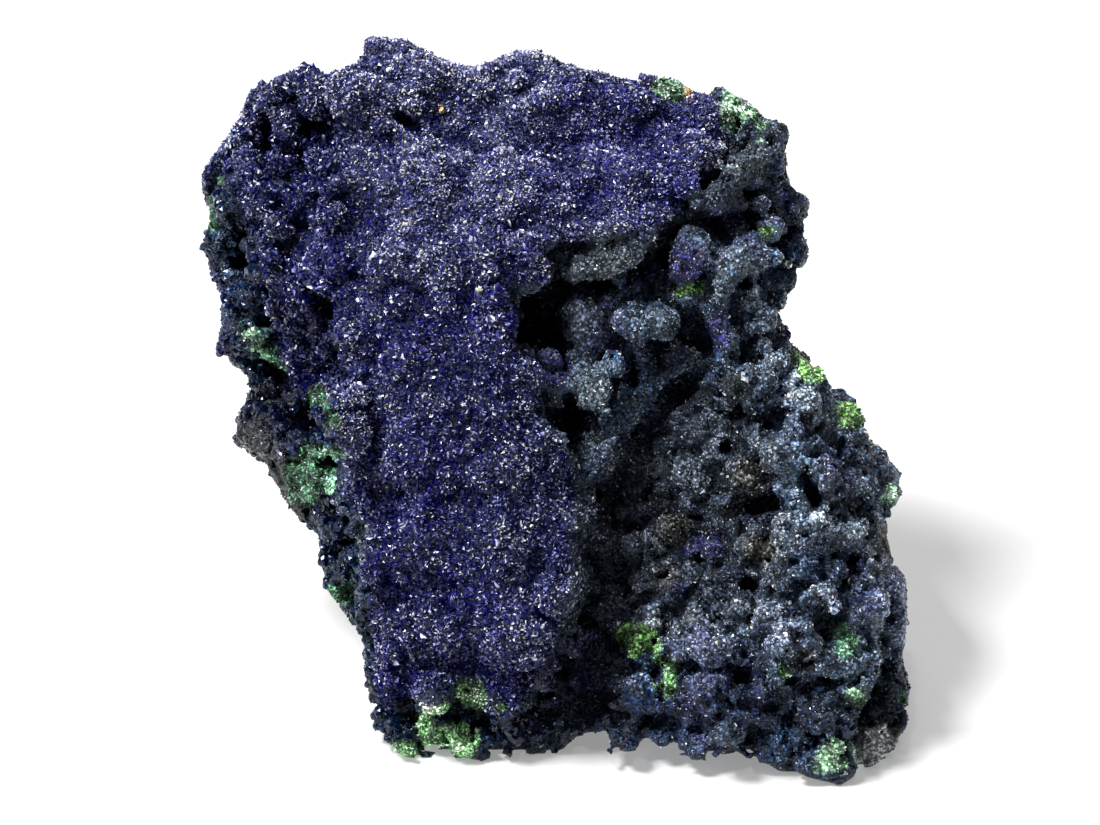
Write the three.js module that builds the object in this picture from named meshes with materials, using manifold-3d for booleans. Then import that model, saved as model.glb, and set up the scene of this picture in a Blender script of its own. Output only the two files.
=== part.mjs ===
// Azurite specimen: a broken, intergrown cluster of azurite with a drusy
// crust on its face, a lined hollow beside it, and small malachite growths.
// It grew as one piece, so it is one solid.
// Units are millimetres, +Z up. The origin is the middle of the box that
// holds the piece, at the height of the surface it rests on.

import * as THREE from 'three';
import { mergeVertices } from 'three/addons/utils/BufferGeometryUtils.js';
import { ImprovedNoise } from 'three/addons/math/ImprovedNoise.js';
import Module from 'manifold-3d';

// ---- driving dimensions ------------------------------------------------
const FACE_LEAN_DEG = 28;     // how far the drusy face leans back
const FACE_LIFT = 23.04;      // face centre above the resting surface, along the face
const FACE_SHIFT = 0.95;      // face centre to the right of the build axis
const STATIONS = 96;          // points round the outline
const ROWS = 32;              // rows from the middle of the face to the middle of the back
const CRUST_STEP = 0.6;       // half width of the crust's broken edge
const FRONT_EDGE_ROUND = 3.0; // rounding from the outline onto the face
const BACK_EDGE_ROUND = 9.0;  // rounding from the outline onto the back
const ROUGHNESS = 0.5;        // height of the small lumps
const LUMP_SIZE = 3.2;        // their spacing
const KNOB_SQUASH = 0.92;     // knobs are a little flatter than spheres
const POLE = [-6.0, -4.0];    // middle of the rows, on the crust's smoothest part: u, v

// Everything below is given in the face's own directions: u to the right,
// v up along the face, w straight out of it.

// Outline radius from the face centre, counter-clockwise from +u.
const OUTLINE_R = [
  28.9, 28.6, 25.9, 24.6, 23.6, 23.2, 23.4, 23.4, 25, 28.8, 29.8, 31.4, 31, 32.1, 35.2, 35,
  35.2, 35, 33.6, 34.5, 33.3, 33.1, 32.9, 33.4, 34.1, 34.9, 34.7, 34.3, 34.3, 36, 39, 40.6,
  39.8, 40.5, 41.7, 42.7, 42.3, 41.5, 41.4, 41.9, 38.4, 38.1, 35.2, 33.7, 33.7, 33.5, 29.4, 30.4,
  31, 31, 28.7, 28, 27.4, 26.7, 26, 25.1, 26.3, 27.2, 26.9, 27.2, 27.8, 27.9, 30.1, 32.7,
  33.7, 35, 35.2, 34.1, 33, 32.8, 32.2, 31.9, 32, 32.2, 32.6, 33.3, 33.9, 34.7, 35.8, 35.6,
  36.9, 40.2, 43.6, 44, 45, 44, 42, 38.7, 37.9, 36.2, 33.9, 32.8, 32.6, 32.8, 32.3, 29.4,
];
// Edge of the raised drusy crust: u, v.
const CRUST_EDGE = [
  [-28.4, 30.5], [-22.9, 32.9], [-17.1, 36.2], [-11.4, 34.1], [-3.8, 34.5], [1.4, 33.1],
  [7.6, 31.9], [13.3, 30.7], [17, 29.7], [16, 25.7], [13.3, 21.3], [10.3, 17.9],
  [4.8, 17.5], [0, 16.2], [-1.1, 13], [-4, 11], [-4.4, 7.1], [-1.9, 3.3],
  [-0.4, 0], [1.7, -3], [2.9, -6.7], [3.2, -10.5], [2.5, -14.8], [1.1, -18.6],
  [-0.4, -22.4], [-1.4, -25.7], [-3.6, -28.2], [-6.7, -27.8], [-9.3, -26.1], [-12.9, -25.9],
  [-15.6, -26.9], [-17.5, -25], [-17.7, -21], [-18.3, -16.2], [-18.9, -12.2], [-20.4, -7.6],
  [-21.1, -2.9], [-21.6, 1.9], [-20.6, 5], [-22.3, 9.3], [-25.5, 11.4], [-28.4, 14.5],
  [-30.7, 19.5], [-31.8, 23.8], [-30.5, 28.6],
];

// Crust surface: u, v, w.
const CRUST_DEPTH = [
  [-24.8, 27.6, 12], [-17.1, 34.3, 13], [-17.1, 28.6, 16], [-10.5, 30.5, 15], [-3.8, 32.4, 12], [-1.9, 28.6, 18],
  [5.7, 29.5, 14], [12.4, 29.5, 12], [16.7, 28.1, 12], [-29.5, 27.6, 9], [-30.5, 21, 14], [-25.7, 21, 18],
  [-20, 21, 21], [-12.4, 21, 23], [-3.8, 21, 24], [4.8, 21.9, 22], [11.4, 22.9, 19], [14.8, 23.8, 16],
  [-27.6, 14.3, 17], [-21.9, 14.3, 22], [-15.2, 13.3, 26], [-8.6, 13.3, 27], [-1.9, 15.2, 26], [3.8, 17.1, 24],
  [8.6, 18.3, 22], [12.4, 20, 19], [-20, 5.7, 23], [-13.3, 4.8, 27], [-6.7, 4.8, 28], [-1.9, 3.8, 27],
  [-20, -1.9, 23], [-13.3, -2.9, 27], [-5.7, -2.9, 28], [0, -2.9, 27], [2.9, -5.7, 25], [-18.1, -9.5, 22],
  [-12.4, -10.5, 26], [-5.7, -11.4, 27], [0, -13.3, 26], [2.9, -11.4, 25], [-16.7, -18.1, 20], [-10.5, -18.1, 24],
  [-4.8, -19, 25], [-1, -21, 24], [-16.2, -24.8, 18], [-10.5, -24.8, 20], [-4.8, -26.7, 21], [-2.4, -26.7, 20],
];

// Rock beside and below the crust: u, v, w.
const BODY_DEPTH = [
  [-33.3, 21.9, 6], [-31.4, 18.1, 9], [-32.9, 13.3, 6], [-29.5, 8.6, 10], [-24.8, 9.5, 13], [-31.4, 5.7, 6],
  [-28.6, 1.9, 8], [-24.8, 1.9, 11], [-30.5, -1.9, 6], [-26.7, -3.8, 9], [-23.6, -4.8, 14], [-22.9, -1, 12],
  [-24.8, -9.5, 8], [-20.5, -9.5, 13], [-20.5, -14.3, 13], [-21, -18.1, 9], [-17.6, -17.1, 14], [-17.1, -21.9, 13],
  [-16.7, -26.7, 14], [-14.8, -31, 16.5], [-28.6, 30.5, 7], [-31.4, 25.7, 6], [-24.8, 31.4, 8], [-17.1, 34.3, 10],
  [-9.5, 32.4, 9], [0, 31.9, 9], [7.6, 31, 9], [13.3, 30, 9], [-11.4, -28.6, 16.5], [-7.6, -30, 17],
  [-3.8, -29.5, 17], [-1, -28.1, 16], [-3.8, 9.5, 13], [-1.9, 8.6, 13], [-2.9, 4.8, 15], [0, 12.4, 15],
  [3.8, 13.8, 16], [8.6, 15.4, 16], [13.3, 17.1, 16], [15.7, 17.9, 16], [1.4, 9, 16.5], [4.3, 10, 17],
  [7.6, 9.7, 17], [12.4, 7.1, 15.5], [12.1, 15, 16.5], [15.4, 12.4, 18], [17.3, 15.7, 17.5], [3, 4, 17.5],
  [1.7, 6.5, 16.5], [5.2, 5.7, 16.5], [0.7, 0.8, 16.5], [7.6, 4.6, 17], [9.5, 6.7, 15.5], [11.8, 5.3, 19.5],
  [8.6, 2.6, 21.5], [5.5, 0, 22.5], [3.2, -3, 23], [5.9, -4.8, 13.5], [4.8, -9.5, 12.5], [4.8, -15.2, 12.5],
  [8.1, -0.8, 15.5], [8.1, -7.6, 14.5], [10.7, 2.7, 17], [10, -3.3, 16.5], [11.4, -9.5, 16.5], [9.5, -13.3, 16],
  [12.4, -5.7, 17], [13.3, -11.4, 18], [17.1, -3.8, 19], [13.3, 0, 18], [15.2, 1.9, 18], [18.1, -8.6, 20],
  [17.1, -15.2, 21], [13.3, -17.1, 18.5], [19, 1.9, 20], [21.9, -1.9, 22], [24.8, -5.7, 22], [27.6, -1.9, 17],
  [29.5, -5.7, 15], [31, -7.6, 12], [21.9, -9.5, 23], [26.7, -11.4, 21], [30.5, -12.4, 15], [22.9, -15.2, 24.5],
  [27.6, -17.1, 22], [31.9, -19, 14], [21, -21, 25], [26.7, -22.9, 23], [31.4, -22.9, 15], [15.2, -21.9, 22],
  [13.3, -25.7, 22], [19, -26.7, 24], [24.8, -27.6, 23.5], [30.5, -26.7, 18], [32.9, -26.7, 13], [13.3, -31.4, 20.5],
  [17.1, -30, 21], [21, -31.9, 20], [25.7, -33.3, 22], [30.5, -31.4, 18], [4.8, -21, 13], [7.6, -21, 17],
  [8.6, -25.7, 20], [5.7, -26.7, 17], [2.9, -25.7, 15], [0, -26.7, 16.5], [0, -29.5, 16.5], [3.8, -28.6, 18.5],
  [8.6, -29.5, 19.5], [21.9, 27.6, 11], [19, 22.9, 13], [20, 19, 12], [22.9, 19.5, 9], [21, 14.3, 12],
  [22.9, 15.2, 8], [18.1, 11.4, 16], [20, 8.6, 12], [21.9, 4.8, 12], [24.8, 4.8, 9], [27.6, 1, 9],
];

// Back of the piece: u, v, w.
const BACK_DEPTH = [
  [-29.5, 21, -3], [-29.5, 8.6, -6], [-25.7, -2.9, -7], [-21, -13.3, -7], [-15.2, -22.9, -4], [-17.1, 30.5, -2],
  [-1.9, 30.5, -2], [13.3, 27.6, -2], [-21.9, 16.2, -9], [-12.4, 21, -9], [0, 21, -8], [11.4, 19, -8],
  [21, 18.1, -3], [-21.9, 3.8, -11], [-12.4, 8.6, -12], [-3.8, 11.4, -11], [3.8, 9.5, -13], [13.3, 9.5, -11],
  [21.9, 6.7, -5], [-15.2, -3.8, -14], [-7.6, -1, -12], [0, -1.9, -15], [8.6, -1, -14], [17.1, -1, -12],
  [26.7, -3.8, -4], [-16.2, -13.3, -14], [-8.6, -13.3, -16], [0, -11.4, -15], [7.6, -11.4, -16], [15.2, -13.3, -15],
  [22.9, -13.3, -11], [29.5, -17.1, -4], [-10.5, -22.9, -12], [0, -21, -14], [9.5, -21.9, -14], [19, -24.8, -12],
  [27.6, -26.7, -4],
];

// Rounded growths: u, v, w, radius.
const KNOBS = [
  [3.8, 11.4, 19.5, 2.4], [1.1, 9.3, 19.5, 2.2], [6.7, 9.5, 20, 2.1], [9.1, 9.3, 20, 2], [5.3, 5.7, 20, 1.9], [3, 4, 21, 2.3],
  [1.9, 6.5, 20, 2], [12.1, 15.4, 19.5, 2.2], [15.2, 12.9, 20, 2], [17, 16, 19, 2], [8.4, -25.2, 19.5, 2.3], [9.5, -19.5, 17, 2],
  [19, -1.9, 19.5, 3.2], [25.5, -3.6, 20.5, 3.2], [23.4, 1.1, 18.5, 2.6], [13.3, -30, 18.5, 3], [17.3, -30, 19, 2.6], [21.9, -30.3, 20, 3.2],
  [-23.6, -4.8, 13.8, 2.6], [-20.5, -10, 12.5, 2.6], [-11.4, -28.8, 16.2, 2.2], [-8.2, -30.3, 16.4, 2], [-14.9, -30.9, 15.4, 1.8], [30.3, -30, 16.5, 2.6],
  [22.4, 17.1, 8.2, 3], [15.2, -17.1, 18.5, 2.8], [20, -13.3, 20, 2.6],
];

// Depth of the outline itself: angle in degrees, w.
const RIM_DEPTH = [
  [0, 8], [20, 8], [45, 9], [70, 9], [90, 9], [115, 10],
  [125, 12], [135, 8], [160, 5], [180, 4], [200, 5], [225, 10],
  [243, 16], [250, 16], [262, 15], [272, 16], [284, 18.5], [292, 20],
  [300, 19.5], [307, 21.5], [312, 18.8], [318, 15], [330, 11], [345, 9],
];

// Vug beside the crust, and the hollows under the piece that leave it
// standing on three feet: centre and half sizes. The vug is in face
// directions, the others in X, Y, Z.
const VUG = { at: [-2.3, 9.2, 21], half: [2.1, 3.3, 7.5] };
const UNDER_HOLLOWS = [
  { at: [9.2, -16.5, -0.6], half: [8.2, 12.0, 3.1] },
  { at: [0.5, -3.0, -0.8], half: [13.5, 7.5, 3.4] },
  { at: [-16.5, 2.0, -0.6], half: [7.0, 7.0, 3.0] },
];

// ---- helpers -----------------------------------------------------------
const noise = new ImprovedNoise();
const clamp01 = (t) => Math.min(1, Math.max(0, t));

function outlineRadius(angle) {
  const k = ((angle / (2 * Math.PI)) * STATIONS + STATIONS * 4) % STATIONS;
  const i = Math.floor(k);
  const f = k - i;
  return OUTLINE_R[i % STATIONS] * (1 - f) + OUTLINE_R[(i + 1) % STATIONS] * f;
}

function rimDepth(angle) {
  const a = ((THREE.MathUtils.radToDeg(angle) % 360) + 360) % 360;
  for (let i = 0; i < RIM_DEPTH.length; i++) {
    const [a0, d0] = RIM_DEPTH[i];
    const next = RIM_DEPTH[(i + 1) % RIM_DEPTH.length];
    const a1 = i + 1 < RIM_DEPTH.length ? next[0] : next[0] + 360;
    if (a >= a0 && a <= a1) return d0 + ((next[1] - d0) * (a - a0)) / (a1 - a0);
  }
  return RIM_DEPTH[0][1];
}

// Smooth surface through scattered depth points.
function depthAt(points, u, v) {
  let sum = 0;
  let total = 0;
  for (const [pu, pv, d] of points) {
    const weight = 1 / Math.pow((u - pu) ** 2 + (v - pv) ** 2 + 1.4, 2);
    sum += weight * d;
    total += weight;
  }
  return sum / total;
}

// Distance to the crust's edge, positive on the crust.
function crustDistance(u, v) {
  let inside = false;
  let best = Infinity;
  for (let i = 0, j = CRUST_EDGE.length - 1; i < CRUST_EDGE.length; j = i++) {
    const [x1, y1] = CRUST_EDGE[i];
    const [x0, y0] = CRUST_EDGE[j];
    if (y1 > v !== y0 > v && u < ((x0 - x1) * (v - y1)) / (y0 - y1) + x1) inside = !inside;
    const t = clamp01(((u - x0) * (x1 - x0) + (v - y0) * (y1 - y0)) / ((x1 - x0) ** 2 + (y1 - y0) ** 2));
    best = Math.min(best, Math.hypot(u - x0 - t * (x1 - x0), v - y0 - t * (y1 - y0)));
  }
  return inside ? best : -best;
}

const roundOver = (t) => Math.sqrt(1 - (1 - clamp01(t)) ** 2);

function toSolid(wasm, geometry) {
  geometry.deleteAttribute('normal');
  geometry.deleteAttribute('uv');
  const merged = mergeVertices(geometry, 1e-5);
  return new wasm.Manifold(new wasm.Mesh({
    numProp: 3,
    vertProperties: new Float32Array(merged.attributes.position.array),
    triVerts: new Uint32Array(merged.index.array),
  }));
}

const lean = THREE.MathUtils.degToRad(FACE_LEAN_DEG);
const U = new THREE.Vector3(1, 0, 0);
const V = new THREE.Vector3(0, Math.sin(lean), Math.cos(lean));
const W = new THREE.Vector3(0, -Math.cos(lean), Math.sin(lean));
const faceToWorld = new THREE.Matrix4().makeBasis(U, V, W)
  .setPosition(V.clone().multiplyScalar(FACE_LIFT).addScaledVector(U, FACE_SHIFT));

function ellipsoid(at, half, detail) {
  const g = new THREE.IcosahedronGeometry(1, detail);
  g.scale(...half);
  g.translate(...at);
  return g;
}

// ---- the rock ----------------------------------------------------------
// A sphere whose poles are the middles of the face and of the back, with
// its equator on the outline.
function rockGeometry() {
  const g = new THREE.SphereGeometry(1, STATIONS, ROWS);
  const p = g.attributes.position;
  for (let i = 0; i < p.count; i++) {
    const su = p.getZ(i);
    const sv = p.getX(i);
    const side = p.getY(i);
    const rho = Math.min(1, Math.hypot(su, sv));
    const angle = rho < 1e-6 ? 0 : Math.atan2(sv, su);
    const radius = outlineRadius(angle);
    const spread = rho < 1e-6 ? 0 : rho;
    const u = spread * radius * Math.cos(angle) + (1 - spread) * POLE[0];
    const v = spread * radius * Math.sin(angle) + (1 - spread) * POLE[1];
    const fromEdge = (1 - rho) * radius;
    const rim = rimDepth(angle);
    let w = rim;
    if (Math.abs(side) > 1e-6 && side > 0) {
      const onCrust = clamp01(0.5 + (0.5 * crustDistance(u, v)) / CRUST_STEP);
      const target = depthAt(BODY_DEPTH, u, v) * (1 - onCrust) + depthAt(CRUST_DEPTH, u, v) * onCrust;
      w = rim + (target - rim) * roundOver(fromEdge / FRONT_EDGE_ROUND);
    } else if (Math.abs(side) > 1e-6) {
      w = rim + (depthAt(BACK_DEPTH, u, v) - rim) * roundOver(fromEdge / BACK_EDGE_ROUND);
    }
    const lump = noise.noise(u / LUMP_SIZE, v / LUMP_SIZE, w / LUMP_SIZE + 7.3)
      + 0.6 * noise.noise(u / LUMP_SIZE * 2.3, v / LUMP_SIZE * 2.3, w / LUMP_SIZE + 3.1);
    w += ROUGHNESS * lump * clamp01(fromEdge / 2);
    p.setXYZ(i, u, v, w);
  }
  return g;
}

const wasm = await Module();
wasm.setup();

let solid = toSolid(wasm, rockGeometry().applyMatrix4(faceToWorld));
for (const [u, v, w, r] of KNOBS) {
  const g = ellipsoid([u, v, w], [r, r, r * KNOB_SQUASH], 1).applyMatrix4(faceToWorld);
  solid = solid.add(toSolid(wasm, g));
}
solid = solid.subtract(toSolid(wasm, ellipsoid(VUG.at, VUG.half, 1).applyMatrix4(faceToWorld)));

// Cut level where it rests, then hollow the underside between its feet.
const below = new THREE.BoxGeometry(200, 200, 40);
below.translate(0, 0, -20);
solid = solid.subtract(toSolid(wasm, below));
for (const { at, half } of UNDER_HOLLOWS) {
  solid = solid.subtract(toSolid(wasm, ellipsoid(at, half, 2)));
}
solid = solid.decompose().sort((a, b) => b.volume() - a.volume())[0];

const out = solid.getMesh();
const geometry = new THREE.BufferGeometry();
geometry.setAttribute('position', new THREE.Float32BufferAttribute(Float32Array.from(out.vertProperties), 3));
geometry.setIndex(Array.from(out.triVerts));
geometry.computeBoundingBox();
const middle = geometry.boundingBox.getCenter(new THREE.Vector3());
geometry.translate(-middle.x, -middle.y, -geometry.boundingBox.min.z);
geometry.computeVertexNormals();

const azurite = new THREE.Mesh(geometry, new THREE.MeshStandardMaterial({
  color: 0x1c2150, roughness: 0.45, metalness: 0.0, flatShading: true,
}));
azurite.name = 'azurite_specimen';

const group = new THREE.Group();
group.name = 'azurite_specimen_part';
group.add(azurite);

export default group;
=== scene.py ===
# Azurite specimen: the looks. Everything is built here in code, in metres,
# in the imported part's frame. Lengths in the tables are millimetres.
import math
import bpy
import numpy as np
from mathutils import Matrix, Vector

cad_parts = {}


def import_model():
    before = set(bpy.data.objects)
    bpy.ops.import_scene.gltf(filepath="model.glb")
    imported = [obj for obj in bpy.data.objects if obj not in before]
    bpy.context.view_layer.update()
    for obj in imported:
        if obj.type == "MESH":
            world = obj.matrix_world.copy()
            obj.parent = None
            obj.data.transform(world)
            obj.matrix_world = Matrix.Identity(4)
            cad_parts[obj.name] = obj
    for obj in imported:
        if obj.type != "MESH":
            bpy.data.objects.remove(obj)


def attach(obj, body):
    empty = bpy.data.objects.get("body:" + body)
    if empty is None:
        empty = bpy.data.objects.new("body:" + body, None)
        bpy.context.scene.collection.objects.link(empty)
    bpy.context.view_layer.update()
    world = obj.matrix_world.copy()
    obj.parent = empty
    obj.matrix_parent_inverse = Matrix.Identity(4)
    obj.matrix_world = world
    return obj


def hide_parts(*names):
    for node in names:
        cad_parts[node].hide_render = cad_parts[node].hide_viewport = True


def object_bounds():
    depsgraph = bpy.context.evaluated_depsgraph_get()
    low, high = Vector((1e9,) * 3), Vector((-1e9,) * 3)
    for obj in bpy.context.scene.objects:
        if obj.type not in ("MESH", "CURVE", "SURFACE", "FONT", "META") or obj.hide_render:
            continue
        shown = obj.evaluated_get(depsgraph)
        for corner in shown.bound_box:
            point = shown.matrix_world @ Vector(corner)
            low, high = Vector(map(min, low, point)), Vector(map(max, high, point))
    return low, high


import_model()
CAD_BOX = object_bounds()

# ---------------------------------------------------------------- the frame
# The drusy face's own directions: u right, v up along the face, w out of it.
LEAN = math.radians(28.0)
SE, CE = math.sin(LEAN), math.cos(LEAN)
LIFT, SHIFT = 23.04, 0.95
MID = (0.191, 2.918)


def world(p):
    p = np.asarray(p, float)
    va = p[..., 1] + LIFT
    return np.stack([p[..., 0] + SHIFT - MID[0], va * SE - p[..., 2] * CE - MID[1], va * CE + p[..., 2] * SE], -1)


def height(u, v, w):
    return (v + LIFT) * CE + w * SE


def turn_to_world(n):
    return np.stack([n[..., 0], n[..., 1] * SE - n[..., 2] * CE, n[..., 1] * CE + n[..., 2] * SE], -1)


# ---------------------------------------------------------------- the shape, in numbers
OUTLINE_R = [
    28.9, 28.6, 25.9, 24.6, 23.6, 23.2, 23.4, 23.4, 25, 28.8, 29.8, 31.4, 31, 32.1, 35.2, 35,
    35.2, 35, 33.6, 34.5, 33.3, 33.1, 32.9, 33.4, 34.1, 34.9, 34.7, 34.3, 34.3, 36, 39, 40.6,
    39.8, 40.5, 41.7, 42.7, 42.3, 41.5, 41.4, 41.9, 38.4, 38.1, 35.2, 33.7, 33.7, 33.5, 29.4, 30.4,
    31, 31, 28.7, 28, 27.4, 26.7, 26, 25.1, 26.3, 27.2, 26.9, 27.2, 27.8, 27.9, 30.1, 32.7,
    33.7, 35, 35.2, 34.1, 33, 32.8, 32.2, 31.9, 32, 32.2, 32.6, 33.3, 33.9, 34.7, 35.8, 35.6,
    36.9, 40.2, 43.6, 44, 45, 44, 42, 38.7, 37.9, 36.2, 33.9, 32.8, 32.6, 32.8, 32.3, 29.4,
]
RIM_DEPTH = [
    (0, 8), (20, 8), (45, 9), (70, 9), (90, 9), (115, 10), (125, 12), (135, 8),
    (160, 5), (180, 4), (200, 5), (225, 10), (243, 16), (250, 16), (262, 15), (272, 16),
    (284, 18.5), (292, 20), (300, 19.5), (307, 21.5), (312, 18.8), (318, 15), (330, 11), (345, 9),
]
CRUST_EDGE = [
    (-28.4, 30.5), (-22.9, 32.9), (-17.1, 36.2), (-11.4, 34.1), (-3.8, 34.5), (1.4, 33.1), (7.6, 31.9),
    (13.3, 30.7), (17, 29.7), (16, 25.7), (13.3, 21.3), (10.3, 17.9), (4.8, 17.5), (0, 16.2),
    (-1.1, 13), (-4, 11), (-4.4, 7.1), (-1.9, 3.3), (-0.4, 0), (1.7, -3), (2.9, -6.7),
    (3.2, -10.5), (2.5, -14.8), (1.1, -18.6), (-0.4, -22.4), (-1.4, -25.7), (-3.6, -28.2), (-6.7, -27.8),
    (-9.3, -26.1), (-12.9, -25.9), (-15.6, -26.9), (-17.5, -25), (-17.7, -21), (-18.3, -16.2), (-18.9, -12.2),
    (-20.4, -7.6), (-21.1, -2.9), (-21.6, 1.9), (-20.6, 5), (-22.3, 9.3), (-25.5, 11.4), (-28.4, 14.5),
    (-30.7, 19.5), (-31.8, 23.8), (-30.5, 28.6),
]
CRUST_DEPTH = [
    (-24.8, 27.6, 12), (-17.1, 34.3, 13), (-17.1, 28.6, 16), (-10.5, 30.5, 15), (-3.8, 32.4, 12), (-1.9, 28.6, 18), (5.7, 29.5, 14),
    (12.4, 29.5, 12), (16.7, 28.1, 12), (-29.5, 27.6, 9), (-30.5, 21, 14), (-25.7, 21, 18), (-20, 21, 21), (-12.4, 21, 23),
    (-3.8, 21, 24), (4.8, 21.9, 22), (11.4, 22.9, 19), (14.8, 23.8, 16), (-27.6, 14.3, 17), (-21.9, 14.3, 22), (-15.2, 13.3, 26),
    (-8.6, 13.3, 27), (-1.9, 15.2, 26), (3.8, 17.1, 24), (8.6, 18.3, 22), (12.4, 20, 19), (-20, 5.7, 23), (-13.3, 4.8, 27),
    (-6.7, 4.8, 28), (-1.9, 3.8, 27), (-20, -1.9, 23), (-13.3, -2.9, 27), (-5.7, -2.9, 28), (0, -2.9, 27), (2.9, -5.7, 25),
    (-18.1, -9.5, 22), (-12.4, -10.5, 26), (-5.7, -11.4, 27), (0, -13.3, 26), (2.9, -11.4, 25), (-16.7, -18.1, 20), (-10.5, -18.1, 24),
    (-4.8, -19, 25), (-1, -21, 24), (-16.2, -24.8, 18), (-10.5, -24.8, 20), (-4.8, -26.7, 21), (-2.4, -26.7, 20),
]
BODY_DEPTH = [
    (-33.3, 21.9, 6), (-31.4, 18.1, 9), (-32.9, 13.3, 6), (-29.5, 8.6, 10), (-24.8, 9.5, 13), (-31.4, 5.7, 6), (-28.6, 1.9, 8),
    (-24.8, 1.9, 11), (-30.5, -1.9, 6), (-26.7, -3.8, 9), (-23.6, -4.8, 14), (-22.9, -1, 12), (-24.8, -9.5, 8), (-20.5, -9.5, 13),
    (-20.5, -14.3, 13), (-21, -18.1, 9), (-17.6, -17.1, 14), (-17.1, -21.9, 13), (-16.7, -26.7, 14), (-14.8, -31, 16.5), (-28.6, 30.5, 7),
    (-31.4, 25.7, 6), (-24.8, 31.4, 8), (-17.1, 34.3, 10), (-9.5, 32.4, 9), (0, 31.9, 9), (7.6, 31, 9), (13.3, 30, 9),
    (-11.4, -28.6, 16.5), (-7.6, -30, 17), (-3.8, -29.5, 17), (-1, -28.1, 16), (-3.8, 9.5, 13), (-1.9, 8.6, 13), (-2.9, 4.8, 15),
    (0, 12.4, 15), (3.8, 13.8, 16), (8.6, 15.4, 16), (13.3, 17.1, 16), (15.7, 17.9, 16), (1.4, 9, 16.5), (4.3, 10, 17),
    (7.6, 9.7, 17), (12.4, 7.1, 15.5), (12.1, 15, 16.5), (15.4, 12.4, 18), (17.3, 15.7, 17.5), (3, 4, 17.5), (1.7, 6.5, 16.5),
    (5.2, 5.7, 16.5), (0.7, 0.8, 16.5), (7.6, 4.6, 17), (9.5, 6.7, 15.5), (11.8, 5.3, 19.5), (8.6, 2.6, 21.5), (5.5, 0, 22.5),
    (3.2, -3, 23), (5.9, -4.8, 13.5), (4.8, -9.5, 12.5), (4.8, -15.2, 12.5), (8.1, -0.8, 15.5), (8.1, -7.6, 14.5), (10.7, 2.7, 17),
    (10, -3.3, 16.5), (11.4, -9.5, 16.5), (9.5, -13.3, 16), (12.4, -5.7, 17), (13.3, -11.4, 18), (17.1, -3.8, 19), (13.3, 0, 18),
    (15.2, 1.9, 18), (18.1, -8.6, 20), (17.1, -15.2, 21), (13.3, -17.1, 18.5), (19, 1.9, 20), (21.9, -1.9, 22), (24.8, -5.7, 22),
    (27.6, -1.9, 17), (29.5, -5.7, 15), (31, -7.6, 12), (21.9, -9.5, 23), (26.7, -11.4, 21), (30.5, -12.4, 15), (22.9, -15.2, 24.5),
    (27.6, -17.1, 22), (31.9, -19, 14), (21, -21, 25), (26.7, -22.9, 23), (31.4, -22.9, 15), (15.2, -21.9, 22), (13.3, -25.7, 22),
    (19, -26.7, 24), (24.8, -27.6, 23.5), (30.5, -26.7, 18), (32.9, -26.7, 13), (13.3, -31.4, 20.5), (17.1, -30, 21), (21, -31.9, 20),
    (25.7, -33.3, 22), (30.5, -31.4, 18), (4.8, -21, 13), (7.6, -21, 17), (8.6, -25.7, 20), (5.7, -26.7, 17), (2.9, -25.7, 15),
    (0, -26.7, 16.5), (0, -29.5, 16.5), (3.8, -28.6, 18.5), (8.6, -29.5, 19.5), (21.9, 27.6, 11), (19, 22.9, 13), (20, 19, 12),
    (22.9, 19.5, 9), (21, 14.3, 12), (22.9, 15.2, 8), (18.1, 11.4, 16), (20, 8.6, 12), (21.9, 4.8, 12), (24.8, 4.8, 9),
    (27.6, 1, 9),
]
BACK_DEPTH = [
    (-29.5, 21, -3), (-29.5, 8.6, -6), (-25.7, -2.9, -7), (-21, -13.3, -7), (-15.2, -22.9, -4), (-17.1, 30.5, -2), (-1.9, 30.5, -2),
    (13.3, 27.6, -2), (-21.9, 16.2, -9), (-12.4, 21, -9), (0, 21, -8), (11.4, 19, -8), (21, 18.1, -3), (-21.9, 3.8, -11),
    (-12.4, 8.6, -12), (-3.8, 11.4, -11), (3.8, 9.5, -13), (13.3, 9.5, -11), (21.9, 6.7, -5), (-15.2, -3.8, -14), (-7.6, -1, -12),
    (0, -1.9, -15), (8.6, -1, -14), (17.1, -1, -12), (26.7, -3.8, -4), (-16.2, -13.3, -14), (-8.6, -13.3, -16), (0, -11.4, -15),
    (7.6, -11.4, -16), (15.2, -13.3, -15), (22.9, -13.3, -11), (29.5, -17.1, -4), (-10.5, -22.9, -12), (0, -21, -14), (9.5, -21.9, -14),
    (19, -24.8, -12), (27.6, -26.7, -4),
]
KNOBS = [
    (3.8, 11.4, 19.5, 2.4), (1.1, 9.3, 19.5, 2.2), (6.7, 9.5, 20, 2.1), (9.1, 9.3, 20, 2), (5.3, 5.7, 20, 1.9), (3, 4, 21, 2.3), (1.9, 6.5, 20, 2),
    (12.1, 15.4, 19.5, 2.2), (15.2, 12.9, 20, 2), (17, 16, 19, 2), (8.4, -25.2, 19.5, 2.3), (9.5, -19.5, 17, 2), (19, -1.9, 19.5, 3.2), (25.5, -3.6, 20.5, 3.2),
    (23.4, 1.1, 18.5, 2.6), (13.3, -30, 18.5, 3), (17.3, -30, 19, 2.6), (21.9, -30.3, 20, 3.2), (-23.6, -4.8, 13.8, 2.6), (-20.5, -10, 12.5, 2.6), (-11.4, -28.8, 16.2, 2.2),
    (-8.2, -30.3, 16.4, 2), (-14.9, -30.9, 15.4, 1.8), (30.3, -30, 16.5, 2.6), (22.4, 17.1, 8.2, 3), (15.2, -17.1, 18.5, 2.8), (20, -13.3, 20, 2.6),
]
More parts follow.
